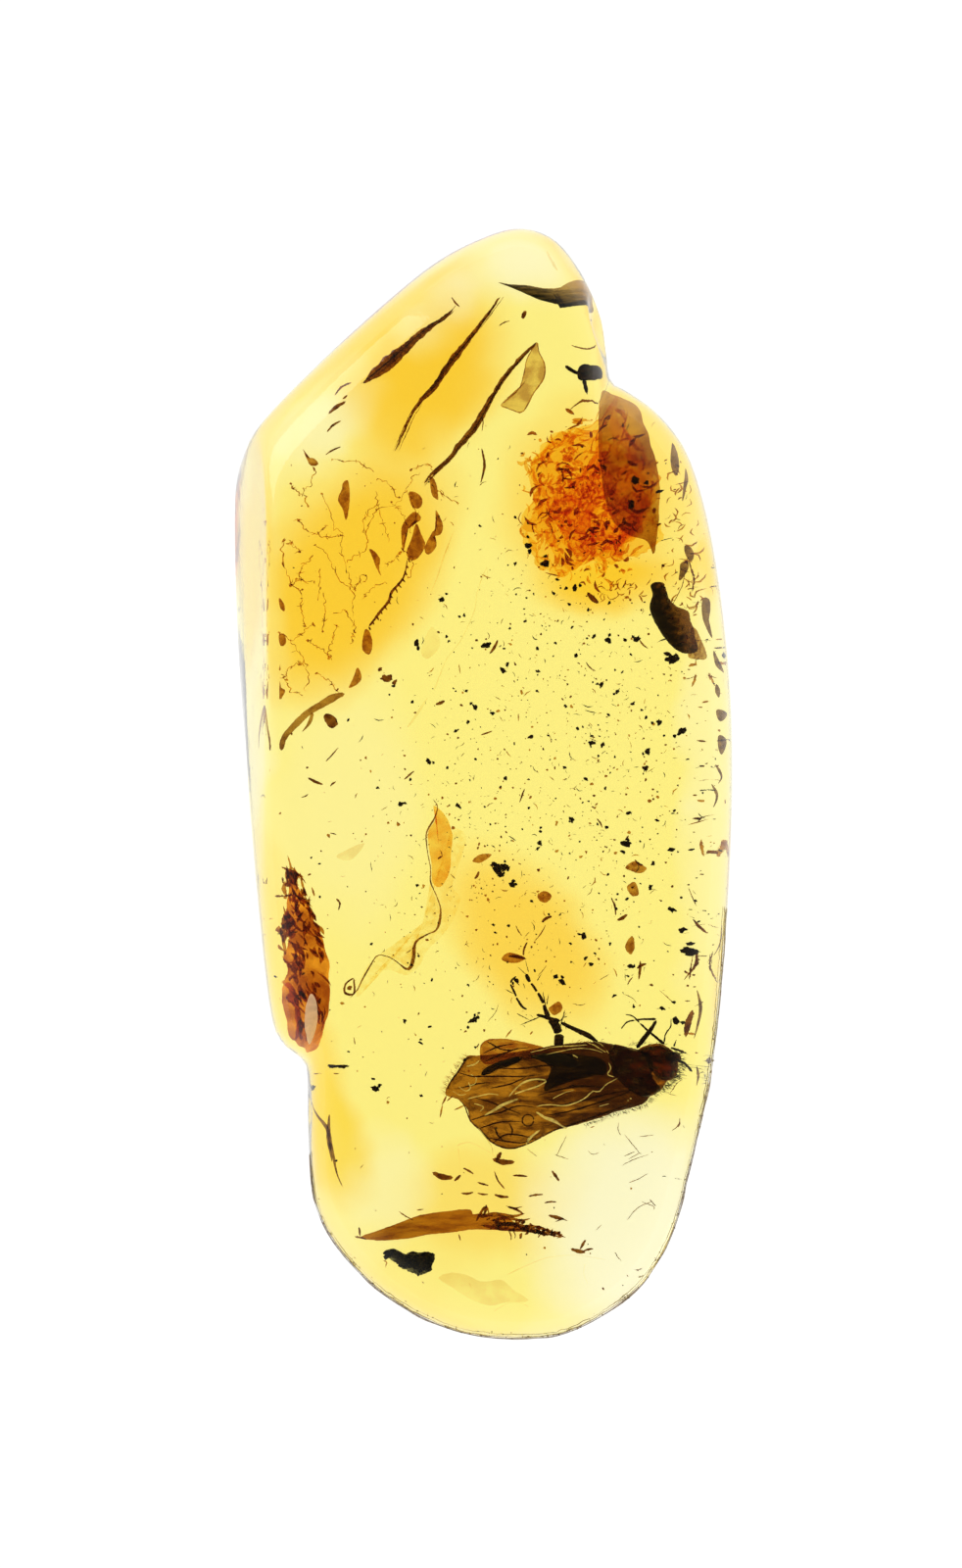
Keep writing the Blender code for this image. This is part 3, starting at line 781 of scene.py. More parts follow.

# %% [markdown]
# ## Veins and folds
# Veins are dark strands that lie on the roof of the wings, found by dropping a ray on it. Folds show
# as pale threads with flat blades where the membrane has torn; their paleness is a painted glow that
# stands in for the light they catch from below, and tiny crumbs of the same glowing film are painted
# glints on the head.

# %% Veins and folds
VEINS = (
    ((468, 1122), (474, 1128), (480, 1143), (489, 1152), (503, 1166), (515, 1171), (527, 1171),
     (541, 1166), (557, 1158)),
    ((456, 1112), (461, 1102), (467, 1094), (474, 1083), (480, 1078)),
    ((489, 1152), (505, 1146), (519, 1144), (533, 1144)),
    ((503, 1167), (515, 1158), (529, 1158), (541, 1160), (551, 1156)),
    ((480, 1143), (495, 1138), (513, 1134), (529, 1128), (547, 1130)),
    ((493, 1084), (509, 1077), (525, 1071), (541, 1069)), ((497, 1063), (513, 1071), (529, 1071)),
    ((493, 1075), (509, 1068), (525, 1065)),
    ((466, 1094), (481, 1098), (495, 1098), (513, 1098), (533, 1098), (557, 1096)),
    ((470, 1110), (485, 1106), (501, 1104)),
    ((557, 1138), (580, 1134), (608, 1126), (638, 1116), (657, 1106)),
    ((553, 1160), (568, 1152), (588, 1146), (608, 1139), (628, 1132), (647, 1126)),
    ((509, 1090), (533, 1090), (557, 1087), (580, 1087)),
    ((495, 1160), (513, 1164), (533, 1166), (549, 1160)),
    ((484, 1120), (500, 1124), (520, 1132), (533, 1137)), ((505, 1150), (508, 1158), (514, 1164)),
    ((520, 1146), (523, 1154), (521, 1160)), ((547, 1118), (570, 1112), (596, 1108), (620, 1110)),
    ((560, 1130), (590, 1124), (622, 1116), (648, 1112)), ((500, 1110), (520, 1106), (538, 1098)),
)
RING_CENTRE = (539, 1143)
RING_PIXELS = 6
# Folds: their pixels and half widths in millimetres
FOLDS = (
    (((547, 1129), (559, 1127), (576, 1128), (588, 1125), (598, 1120), (606, 1113), (612, 1114),
      (620, 1106), (632, 1100)), (0.012, 0.022, 0.018, 0.012)),
    (((477, 1121), (489, 1118), (499, 1116), (509, 1117)), (0.015, 0.022, 0.012)),
    (((494, 1138), (505, 1132), (515, 1126), (529, 1121)), (0.02, 0.06, 0.03)),
    (((519, 1119), (527, 1110), (537, 1103), (549, 1101), (558, 1102)), (0.02, 0.035, 0.025)),
    (((558, 1103), (549, 1108), (537, 1112), (525, 1116)), (0.02, 0.028, 0.02)),
    (((547, 1134), (556, 1140), (566, 1144), (579, 1152)), (0.025, 0.065, 0.02)),
    (((537, 1169), (541, 1161), (551, 1153)), (0.015, 0.06, 0.02)),
    (((479, 1143), (487, 1150), (495, 1160), (502, 1170), (503, 1178)), (0.015, 0.022, 0.012)),
    (((541, 1074), (553, 1071), (568, 1068), (584, 1067), (600, 1066)), (0.01, 0.022, 0.012)),
    (((557, 1076), (570, 1073), (586, 1070), (602, 1070), (616, 1074)), (0.008, 0.015, 0.010)),
    (((598, 1063), (608, 1067), (619, 1074)), (0.008, 0.02, 0.008)),
    (((606, 1062), (614, 1066), (622, 1075)), (0.006, 0.016, 0.008)),
    (((564, 1121), (576, 1115), (586, 1112)), (0.008, 0.014, 0.006)),
    (((612, 1129), (622, 1126)), (0.014, 0.010)), (((585, 1076), (590, 1079)), (0.02, 0.01)),
    (((622, 1084), (624, 1090), (621, 1096), (628, 1099)), (0.01, 0.018, 0.008)),
    (((484, 1126), (493, 1129), (490, 1134)), (0.012, 0.02, 0.01)),
    (((468, 1108), (475, 1113), (480, 1110), (478, 1104)), (0.010, 0.016, 0.010)),
    (((462, 1113), (469, 1117), (476, 1116)), (0.008, 0.016, 0.008)),
    (((480, 1096), (486, 1100), (484, 1106), (478, 1107)), (0.008, 0.014, 0.008)),
    (((476, 1088), (484, 1086), (489, 1082)), (0.02, 0.03, 0.02)),
)
# Painted glints: tiny pale crumbs of the glowing fold film, where the head shows reflections.
PAINTED_GLINTS = ((668, 1074, 0.05), (672, 1074, 0.03), (665, 1073, 0.02), (645, 1121, 0.03), (642, 1123, 0.02))


def on_roof(pixels, lift):
    """Places along a row of pixels, laid on the top of the wings."""
    places = []
    for place in along(pixels):
        hit = wing_roof.ray_cast(place + Vector((0, 0, SKYWARD)), Vector((0, 0, -1)))[0]
        top = hit.z if hit else LEVEL + 0.2
        places.append(Vector((place.x, place.y, top + lift)))
    return places


veins = bmesh.new()
for pixels in VEINS:
    strand(veins, on_roof(pixels, 0.0), (0.012, 0.030, 0.024, 0.010), sides=5, steps=18)
ring = [(RING_CENTRE[0] + RING_PIXELS * math.cos(a), RING_CENTRE[1] + RING_PIXELS * math.sin(a))
        for a in [math.tau * i / 12 for i in range(13)]]
strand(veins, on_roof(ring, 0.0), (0.02, 0.02), sides=5, steps=30)
finish_piece("caddisfly_veins", veins, stained(
    "vein_brown", (0.42, 0.20, 0.06), (0.25, 0.10, 0.03), (0.10, 0.04, 0.01), solid=0.35))

folds = bmesh.new()
rng = random.Random(7)
for pixels, widths in FOLDS:
    strand(folds, on_roof(pixels, 0.03), widths, sides=6, steps=24, flatness=0.3)
for x, y, half in PAINTED_GLINTS:
    crumb(folds, on_roof(((x, y),), 0.05)[0], (half, half * 0.7, half * 0.5), rng)
# The folds' paleness is a painted glow: their material emits light in place of the light they catch.
finish_piece("caddisfly_folds", folds, painted_glow_film(
    "pale_fold_painted_glow", (1.0, 1.0, 0.9), (0.92, 0.78, 0.36), (0.95, 0.80, 0.38), 0.35, 0.25, 0.3, 0.4))

# %% [markdown]
# ## Hair
# Hair stands out along the lower edge and round the head, leaning back from the head. Each hair is
# a strand of three sides, so hundreds of them stay light. A paler fringe is on the wing tips.

# %% Hair
LOWER_EDGE = ((596, 1147), (610, 1142), (628, 1136), (646, 1131), (657, 1127), (666, 1118), (675, 1112))
FACE_EDGE = ((690, 1072), (692, 1080), (692, 1090), (689, 1099), (682, 1105), (676, 1112))
TIP_EDGE = ((478, 1078), (470, 1088), (462, 1100), (456, 1110), (457, 1118))
NECK_EDGE = ((640, 1066), (660, 1066), (680, 1067))
BACK_EDGE = ((600, 1064), (585, 1065), (612, 1064))
TIP_HAIRS = (
    ((456, 1118), (451, 1128)), ((452, 1127), (449, 1141)), ((462, 1118), (456, 1124)),
    ((474, 1128), (463, 1133)), ((516, 1059), (523, 1050)), ((541, 1056), (544, 1052)),
)
HAIR_SPREAD = 22  # degrees by which hairs lean differently


def fringe(bm, edge, lift, count, length, lean, half, rng):
    """Hair that stands out from a line of pixels. lean is its direction in degrees."""
    line = even_points([p.to_2d() for p in along(edge)], count, closed=False)
    for root in line:
        angle = math.radians(lean + rng.gauss(0, HAIR_SPREAD))
        reach = length * rng.uniform(0.4, 1.2)
        shift = (rng.gauss(0, 0.03), rng.gauss(0, 0.03), rng.gauss(lift, 0.2))
        place = Vector((root.x, root.y, LEVEL)) + Vector(shift)
        tip = place + Vector((math.cos(angle), math.sin(angle), rng.uniform(-0.3, 0.3))) * reach
        sag = place.lerp(tip, 0.5) + Vector((rng.gauss(0, 0.03), rng.gauss(0, 0.03), 0))
        strand(bm, (place, sag, tip), (half, half * 0.8, half * 0.3), sides=3, steps=3)


hair = bmesh.new()
fringe(hair, LOWER_EDGE, 0.0, 220, 0.13, -38, 0.007, rng)
fringe(hair, FACE_EDGE, 0.1, 200, 0.14, -25, 0.010, rng)
fringe(hair, NECK_EDGE, 0.2, 50, 0.12, 40, 0.007, rng)
finish_piece("caddisfly_hair", hair, LEG_SKIN)
tip_hair = bmesh.new()
fringe(tip_hair, TIP_EDGE, 0.1, 80, 0.22, 150, 0.007, rng)
fringe(tip_hair, BACK_EDGE, 0.3, 30, 0.20, 20, 0.007, rng)
for pixels in TIP_HAIRS:
    strand(tip_hair, along(pixels), (0.02, 0.03, 0.01), sides=4, steps=5)
finish_piece("caddisfly_tip_hair", tip_hair, HUSK)

# %% [markdown]
# ## The long splinter and the charred crumb
# The splinter is a smooth blade of leaf on its left and frays on its right. The blade is a sheet,
# and the frayed end is a sheaf of short strands and crumbs. The charred crumb is a thick sheet that
# noise has dented. It keeps flat faces, so its ridges stay sharp, and its black is smooth.

# %% Splinter and crumb
LEAF_EDGE = (
    (367, 1263), (385, 1256), (407, 1248), (429, 1240), (455, 1236), (479, 1234), (483, 1239),
    (492, 1238), (505, 1241), (514, 1240), (522, 1245), (530, 1250), (536, 1255), (520, 1256),
    (500, 1255), (481, 1255), (459, 1258), (437, 1260), (415, 1264), (389, 1266),
)
FRAY = (
    ((488, 1242), (505, 1239), (524, 1241), (536, 1238), 0.09),
    ((500, 1246), (516, 1243), (532, 1245), (542, 1243), 0.07),
    ((505, 1251), (520, 1249), (536, 1252), (556, 1258), 0.09),
    ((490, 1250), (512, 1254), (534, 1256), (556, 1259), 0.07),
    ((536, 1250), (548, 1252), (560, 1256), (578, 1263), 0.06),
    ((530, 1253), (545, 1257), (558, 1259), (572, 1262), 0.06),
    ((486, 1246), (493, 1234), (497, 1232), (499, 1240), 0.06),
    ((505, 1246), (515, 1249), (528, 1248), (533, 1243), 0.08),
)
LEAF_HAIRS = (
    ((407, 1236), (414, 1241), (423, 1246)), ((519, 1255), (522, 1262), (521, 1266)),
    ((523, 1254), (526, 1260), (525, 1264)), ((425, 1235), (433, 1234)),
    ((534, 1231), (524, 1233), (516, 1230)), ((366, 1252), (367, 1262)), ((360, 1262), (374, 1265)),
    ((468, 1259), (470, 1266)), ((552, 1259), (549, 1263)), ((566, 1247), (574, 1244), (580, 1246)),
)
CRUMB_EDGE = (
    (394, 1279), (402, 1276), (415, 1279), (430, 1278), (442, 1279), (443, 1286), (441, 1292),
    (437, 1299), (431, 1301), (422, 1299), (413, 1295), (405, 1289), (399, 1285),
)
CRUMB_MIDDLE = (420, 1288)
# Knobs of the crumb: pixel and half size in millimetres
CRUMB_KNOBS = (
    ((396, 1282), 0.09), ((400, 1277), 0.06), ((409, 1290), 0.08), ((392, 1279), 0.04),
    ((437, 1281), 0.08), ((427, 1300), 0.06),
)
FRAYED_CRUMBS = 70
FRAYED_FROM = (492, 1246)  # the pixel where the fraying begins
FRAYED_RUN = (82, 14)  # how far it goes, right and down
FRAYED_WIDTH = 4
rng = random.Random(11)
sheet_piece("leaf_blade", LEAF_EDGE, 0.0, 0.16, stained(
    "leaf_brown", (0.80, 0.52, 0.16), (0.52, 0.26, 0.07), (0.34, 0.15, 0.02), solid=0.22,
    grain_mm=0.35, stretch=(0.35, 1.6, 1), spread=(0.42, 0.7)), "leaf", ("needle_leaf",),
    around=160, rings=16, ripple=0.08)
frayed = bmesh.new()
for *pixels, half in FRAY:
    widths = (half * 0.5, half * 0.8, half * 0.6, half * 0.3)
    strand(frayed, along(pixels, 0.0, 0.05), widths, sides=7, steps=12, flatness=0.5)
for _ in range(FRAYED_CRUMBS):
    t = rng.random() ** 0.8
    px = FRAYED_FROM[0] + FRAYED_RUN[0] * t + rng.gauss(0, 3)
    py = FRAYED_FROM[1] + FRAYED_RUN[1] * t + rng.gauss(0, FRAYED_WIDTH - 2.5 * t)
    where = spot((px, py), rng.uniform(-0.1, 0.15))
    crumb(frayed, where, (rng.uniform(0.03, 0.11), rng.uniform(0.02, 0.05), 0.03), rng, dents=0.5)
finish_piece("leaf_frayed_end", frayed, stained(
    "frayed_leaf", (0.72, 0.46, 0.14), (0.38, 0.19, 0.05), (0.26, 0.12, 0.02), solid=0.22,
    grain_mm=0.18))
leaf_hairs = bmesh.new()
for pixels in LEAF_HAIRS:
    strand(leaf_hairs, along(pixels, 0.1, 0.15), (0.012, 0.022, 0.010), sides=4, steps=6)
finish_piece("leaf_hairs", leaf_hairs, UMBER)

char = bmesh.new()
sheet(char, CRUMB_EDGE, 0.0, 0.36, around=48, rings=14, power=2.6)
for vert in char.verts:
    dent = noise.noise(vert.co * 3.1) * 0.12 + noise.noise(vert.co * 8.0) * 0.09
    vert.co += (vert.co - spot(CRUMB_MIDDLE)).normalized() * dent
for pixel, half in CRUMB_KNOBS:
    crumb(char, spot(pixel, 0.05), (half, half, half), rng, dents=0.6)
finish_piece("charred_crumb", char, dark_matter(
    "char", (0.008, 0.007, 0.006), (0.035, 0.028, 0.02), roughness=0.28, grain_mm=0.2, depth_mm=0.08),
    ("charcoal_crumb",), smooth=False)

# %% [markdown]
# ## The orange cloud
# A clot of leaf dust has stained the resin round it. The stain is a few overlapping lumps that only
# tint the light, and the dust is hundreds of curled flakes in three browns, thick in the middle and
# loose at the rim. Scattering them with nodes would need instances; a seeded loop writes them into
# three meshes. A brown plate of leaf lies over the upper right.

# %% Cloud
CLOUD_CENTRE = (597, 506)
CLOUD_REACH = (68, 86)
STAIN_LUMPS = (
    ((598, 505), (1.75, 2.15, 0.75)), ((610, 520), (1.35, 1.45, 0.65)), ((586, 490), (1.1, 1.5, 0.6)),
    ((620, 512), (1.2, 1.5, 0.6)), ((574, 545), (1.1, 1.2, 0.5)), ((640, 540), (0.8, 0.9, 0.45)),
)
PLATE_LIFT = 1.4
PLATE_EDGE = (
    (612, 401), (624, 402), (637, 405), (649, 412), (655, 424), (661, 440), (667, 460), (672, 480),
    (674, 500), (673, 524), (671, 546), (667, 566), (660, 552), (642, 546), (626, 532), (618, 510),
    (613, 479), (611, 440),
)
rng = random.Random(21)
stain = bmesh.new()
for pixel, size in STAIN_LUMPS:
    centre = spot(pixel)
    for vert in bmesh.ops.create_icosphere(stain, subdivisions=5, radius=1.0)["verts"]:
        swell = 1 + 0.30 * noise.noise(vert.co * 2.2 + centre) + 0.12 * noise.noise(vert.co * 6.0)
        vert.co = centre + Vector([c * s * swell for c, s in zip(vert.co, size)])
finish_piece("cloud_stain", stain, stained(
    "orange_stain", (0.98, 0.89, 0.58), (0.965, 0.835, 0.50), (0.55, 0.20, 0.03), solid=0.0,
    grain_mm=0.7, spread=(0.42, 0.6)), ("debris_clump",))


def cloud_place(rng, spread):
    """A place in the cloud, denser in its middle and lower part."""
    while True:
        x, y = rng.gauss(0, spread), rng.gauss(-0.06, spread)
        if x * x + y * y < 1.25:
            break
    z = rng.gauss(0.4, 0.35)
    px, py = CLOUD_CENTRE[0] + x * CLOUD_REACH[0], CLOUD_CENTRE[1] - y * CLOUD_REACH[1]
    return spot((px, py), z)


CRUMB_CHANCE = 0.25
# Flakes: name, tones, share of body, count and how widely they lie
CLOUD_FLAKES = (
    ("cloud_amber_flakes", ((0.98, 0.86, 0.55), (0.93, 0.72, 0.36), (0.80, 0.40, 0.05)), 0.02, 300, 0.42),
    ("cloud_brown_flakes", ((0.94, 0.74, 0.38), (0.84, 0.56, 0.20), (0.60, 0.26, 0.03)), 0.04, 190, 0.52),
    ("cloud_dark_flakes", ((0.70, 0.42, 0.14), (0.50, 0.25, 0.07), (0.30, 0.11, 0.02)), 0.12, 70, 0.66),
)
for name, tones, solid, count, spread in CLOUD_FLAKES:
    flakes = bmesh.new()
    for _ in range(count):
        place = cloud_place(rng, spread)
        length = rng.uniform(0.16, 0.55)
        wisp(flakes, place, length, rng.uniform(0.02, 0.065), rng, bend=0.8, rise=0.6)
        if rng.random() < CRUMB_CHANCE:
            size = rng.uniform(0.04, 0.10)
            crumb(flakes, cloud_place(rng, spread * 0.9), (size, size * 0.7, size * 0.5), rng, dents=0.7)
    finish_piece(name, flakes, stained(name, *tones, solid=solid, grain_mm=0.1))
sheet_piece("cloud_plate", PLATE_EDGE, PLATE_LIFT, 0.10, stained(
    "plate_brown", (0.82, 0.64, 0.32), (0.60, 0.40, 0.14), (0.42, 0.20, 0.03), solid=0.08,
    grain_mm=1.1, spread=(0.36, 0.66)), "debris", around=120, rings=16, ripple=0.20)

# %% [markdown]
# ## Bark chip, scale and bud
# The chip is black on its left, brown on its right and ends in a striped broken tip. The scale is a
# curved fin, green-black along its keel and horn-brown above. Both are thick sheets whose material
# changes across them by place. The bud is a ball on a stub, made narrow and set high, because the
# wall of the notch shows it twice as wide.

# %% Chip, scale and bud
CHIP_EDGE = (
    (664, 598), (669, 594), (678, 595), (677, 600), (683, 611), (690, 618), (697, 621), (703, 624),
    (705, 632), (708, 640), (710, 650), (713, 664), (700, 667), (689, 662), (678, 650), (668, 634),
    (663, 620), (666, 607),
)
CHIP_END = ((706, 640), (711, 642), (717, 654), (723, 671), (715, 673), (703, 670), (705, 655))
SCALE_EDGE = (
    (508, 288), (519, 290), (537, 291), (555, 294), (573, 293), (587, 287), (593, 286), (597, 293),
    (600, 303), (601, 311), (594, 314), (580, 313), (566, 310), (551, 306), (537, 300), (523, 294),
)
# Lines between two tones, each through two pixels
CHIP_LINE = ((708, 668), (679, 604))
SCALE_LINE = ((600, 306), (512, 285))
TONE_WANDER = 1.2  # millimetres by which such a line wanders
TONE_BLUR = 0.25
SCALE_LIFT = 0.8
BUD_PIXEL = (606.8, 381)
BUD_LIFT = 1.2
BUD_WIDTHS = (0.125, 0.25, 0.20)
BUD_STUB = ((577, 373), (584, 378), (594, 382), (605, 383))
BUD_STALK = ((607, 387), (606, 396), (604, 403))


def tone_line(start, end):
    """(x, y, constant) of the line through two pixels: above 0 on the right of the way along it."""
    start, end = flat_spots((start, end), 0.4)
    way = (end - start).normalized()
    return way.y, -way.x, way.x * start.y - way.y * start.x


def two_tone(name, line, dark, light, tint, solid_dark, solid_light, grain_mm, stretch=(1, 1, 1)):
    """A scrap whose tone changes across a line through two pixels."""
    across = tone_line(*line)
    recipe = Recipe(name)
    x, y, _ = recipe.millimetres()
    grain = recipe.noise(grain_mm, detail=5.0, stretch=stretch)
    side = x * across[0] + y * across[1] + across[2] + (grain - 0.5) * TONE_WANDER
    side = side.between(-TONE_BLUR, TONE_BLUR)
    skin = matte(recipe, recipe.mix(side, dark, light), 0.45, Normal=recipe.bump(grain, 0.05))
    solid = side * (solid_light - solid_dark) + solid_dark
    return recipe.surface(blended(recipe, solid, tinted(recipe, tint), skin))


sheet_piece("bark_chip_body", CHIP_EDGE, 0.4, 0.30, two_tone(
    "bark", CHIP_LINE, (0.020, 0.012, 0.005), (0.22, 0.10, 0.03), (0.66, 0.42, 0.18), 0.92, 0.45,
    0.16), "bark", ("bark_chip",), around=90, rings=20, ripple=0.10)
sheet_piece("bark_chip_end", CHIP_END, RIM_LIFT, 0.16, stained(
    "striped_wood", (0.86, 0.72, 0.50), (0.56, 0.38, 0.22), (0.50, 0.32, 0.16), solid=0.16,
    grain_mm=0.10, stretch=(1.6, 0.3, 1)), "bark", around=48, rings=10)
sheet_piece("crescent_scale_skin", SCALE_EDGE, SCALE_LIFT, 0.22, two_tone(
    "horny_scale", SCALE_LINE, (0.014, 0.013, 0.005), (0.52, 0.32, 0.13), (0.86, 0.70, 0.46), 0.95,
    0.28, 0.30, stretch=(0.3, 2.2, 1)), "bark", ("crescent_scale",), around=96, rings=16, power=2.0)
bud = bmesh.new()
bud_place = spot(BUD_PIXEL, BUD_LIFT)
for vert in bmesh.ops.create_uvsphere(bud, u_segments=28, v_segments=18, radius=1.0)["verts"]:
    dented = vert.co * (1 + 0.2 * noise.noise(vert.co * 1.3))
    vert.co = bud_place + Vector([c * s for c, s in zip(dented, BUD_WIDTHS)])
strand(bud, along(BUD_STUB, BUD_LIFT), (0.04, 0.055, 0.05, 0.02), sides=8, steps=10)
strand(bud, along(BUD_STALK, BUD_LIFT), (0.035, 0.02, 0.01), sides=5, steps=6)
finish_piece("bud_on_stub", bud, INK, ("bud",))

# %% [markdown]
# ## Long shreds and the lobe
# Three shreds of bast lie side by side. Each is a flattened strand that swells where its fibres have
# opened, with a few fine fibres beside it. The third carries a thin lobe like a petal.

# %% Shreds
SHREDS = (
    ("long_shred", ((463, 315), (452, 325), (437, 335), (423, 347), (411, 358), (393, 373), (382, 382),
                    (370, 391)), (0.02, 0.05, 0.08, 0.10, 0.12, 0.17, 0.12, 0.02)),
    ("thin_shred", ((511, 303), (500, 318), (485, 338), (470, 357), (455, 377), (444, 394), (429, 409),
                    (418, 427), (403, 461)), (0.02, 0.04, 0.08, 0.10, 0.10, 0.08, 0.05, 0.03, 0.015)),
    ("leaf_scrap", ((548, 349), (533, 364), (514, 386), (496, 416), (485, 435), (470, 453), (459, 468),
                    (440, 485), (433, 494)), (0.03, 0.06, 0.07, 0.08, 0.11, 0.11, 0.08, 0.05, 0.015)),
)
LOBE_EDGE = (
    (548, 349), (551, 361), (556, 372), (555, 386), (545, 401), (534, 420), (522, 418), (511, 413),
    (529, 398), (535, 380), (538, 366),
)
SHRED_WOBBLE = 0.035
SHRED_FIBRES = 16
rng = random.Random(3)
SHRED_BROWN = stained(
    "shred_brown", (0.66, 0.42, 0.15), (0.38, 0.20, 0.06), (0.26, 0.13, 0.035), solid=0.30, grain_mm=0.15)
for name, pixels, widths in SHREDS:
    shred = bmesh.new()
    strand(shred, along(pixels, 0.1, -0.2), widths, sides=10, steps=60, flatness=0.45)
    for vert in shred.verts:
        aside = (noise.noise(vert.co * 5), noise.noise(vert.co * 5 + Vector((9, 0, 0))), 0)
        vert.co += Vector(aside) * SHRED_WOBBLE
    for _ in range(SHRED_FIBRES):
        start = rng.randrange(len(pixels) - 2)
        shift = Vector((rng.gauss(0, 1.6), rng.gauss(0, 1.6)))
        part = [Vector(p) + shift for p in pixels[start:start + 3]]
        strand(shred, along(part, rng.uniform(-0.1, 0.1)), (0.004, 0.014, 0.004), sides=4, steps=8)
    finish_piece(name + "_fibres", shred, SHRED_BROWN, (name,))
sheet_piece("leaf_lobe_film", LOBE_EDGE, 0.0, 0.05, stained(
    "petal_film", (0.95, 0.85, 0.62), (0.78, 0.62, 0.44), (0.55, 0.36, 0.14), solid=0.08,
    grain_mm=0.5), "leaf", around=80, rings=12, ripple=0.08)
lobe_edge = bmesh.new()
strand(lobe_edge, along(LOBE_EDGE[:8], 0.05), (0.012, 0.02, 0.016), sides=5, steps=24)
way_back = along((*LOBE_EDGE[7:], LOBE_EDGE[0]), 0.05)
strand(lobe_edge, way_back, (0.01, 0.014, 0.012), sides=5, steps=16)
finish_piece("leaf_lobe_rim", lobe_edge, HUSK)

# %% [markdown]
# ## The weathered rind
# At the left edge a flake of the old outer crust is sealed in: brown scales over a core that glows
# orange. The core is two lumpy sheets with a strong orange tint, the scales are flattened strands
# laid lengthwise, and a grey lip of air shows at its lower right with a painted glow.

# %% Rind
RIND_EDGE = (
    (297, 896), (303, 904), (309, 914), (316, 928), (324, 945), (331, 962), (335, 985), (335, 1015),
    (332, 1045), (327, 1062), (318, 1074), (306, 1070), (295, 1057), (288, 1040), (285, 1015), (288, 990),
    (294, 970), (296, 944), (294, 918),
)
RIND_SIDE = (
    (286, 1008), (292, 1002), (300, 1010), (305, 1030), (306, 1054), (300, 1064), (292, 1054),
    (287, 1036),
)
RIND_LIP = ((312, 1028), (317, 1014), (322, 1020), (324, 1035), (322, 1052), (316, 1066), (311, 1050))
RIND_TIPS = (
    ((293, 873), (296, 884), (297, 900)), ((300, 884), (302, 896), (303, 910)),
    ((281, 950), (287, 962), (289, 975)), ((284, 978), (292, 983), (298, 981)),
    ((306, 890), (309, 905), (314, 915)), ((318, 905), (321, 915)),
)
RIND_SCALES = 150
RIND_TOP = (298, 890)  # the pixel of the scales' upper end
RIND_RUN = (16, 174)  # how far they go, right and down
RIND_LIE = -78  # their direction in degrees
rng = random.Random(17)
rind = bmesh.new()
for vert in sheet(rind, RIND_EDGE, RIM_LIFT - 0.3, 0.45, around=96, rings=24, power=2.2):
    vert.co += Vector((0.08, 0.04, 0.14)) * noise.noise(vert.co * 2.4)
sheet(rind, RIND_SIDE, RIM_LIFT + 0.3, 0.20, around=48, rings=12, ripple=0.1)
finish_piece("rind_core", rind, stained(
    "orange_rind", (0.97, 0.64, 0.24), (0.60, 0.27, 0.08), (0.60, 0.20, 0.02), solid=0.08, grain_mm=0.7,
    spread=(0.34, 0.66)), ("rind_flake",))
rind_scales = bmesh.new()
for _ in range(RIND_SCALES):
    t = rng.random() ** 1.2
    half = 3 + 20 * math.sin(math.pi * min(1.0, 0.06 + 0.8 * t))
    side = rng.uniform(-1, 1) if t < 0.45 else rng.uniform(-0.6, 1)
    pixel = (RIND_TOP[0] + RIND_RUN[0] * t ** 0.8 + half * side, RIND_TOP[1] + RIND_RUN[1] * t)
    where = spot(pixel, RIM_LIFT + rng.uniform(-0.4, 0.3))
    wisp(rind_scales, where, rng.uniform(0.15, 0.6), rng.uniform(0.02, 0.06), rng, bend=0.3,
         lie=math.radians(RIND_LIE + 12 * side + rng.gauss(0, 16)))
for pixels in RIND_TIPS:
    strand(rind_scales, along(pixels, RIM_LIFT), (0.01, 0.03, 0.02), sides=5, steps=8)
finish_piece("rind_scales", rind_scales, stained(
    "rind_brown", (0.80, 0.56, 0.24), (0.54, 0.30, 0.10), (0.30, 0.14, 0.03), solid=0.10,
    grain_mm=0.2))
# The grey lip has a painted glow: its skin emits a pale light where the air lip shows pale.
sheet_piece("rind_lip", RIND_LIP, RIM_LIFT + 0.4, 0.06, painted_glow_film(
    "grey_lip_painted_glow", (0.86, 0.80, 0.74), (0.60, 0.50, 0.44), (0.72, 0.52, 0.58), 0.7, 0.5, 0.5, 0.6),
    "debris", around=48, rings=10)

# %% [markdown]
# ## Cracks on the left
# Where the resin dried it cracked in polygons, and the cracks filled with brown dust. They are thin
# wandering strands with a knot of dust at most joints. Tubes with a bevelled curve would do as well;
# a strand keeps them all in one mesh. Husks, seeds and a curved splinter lie among them.

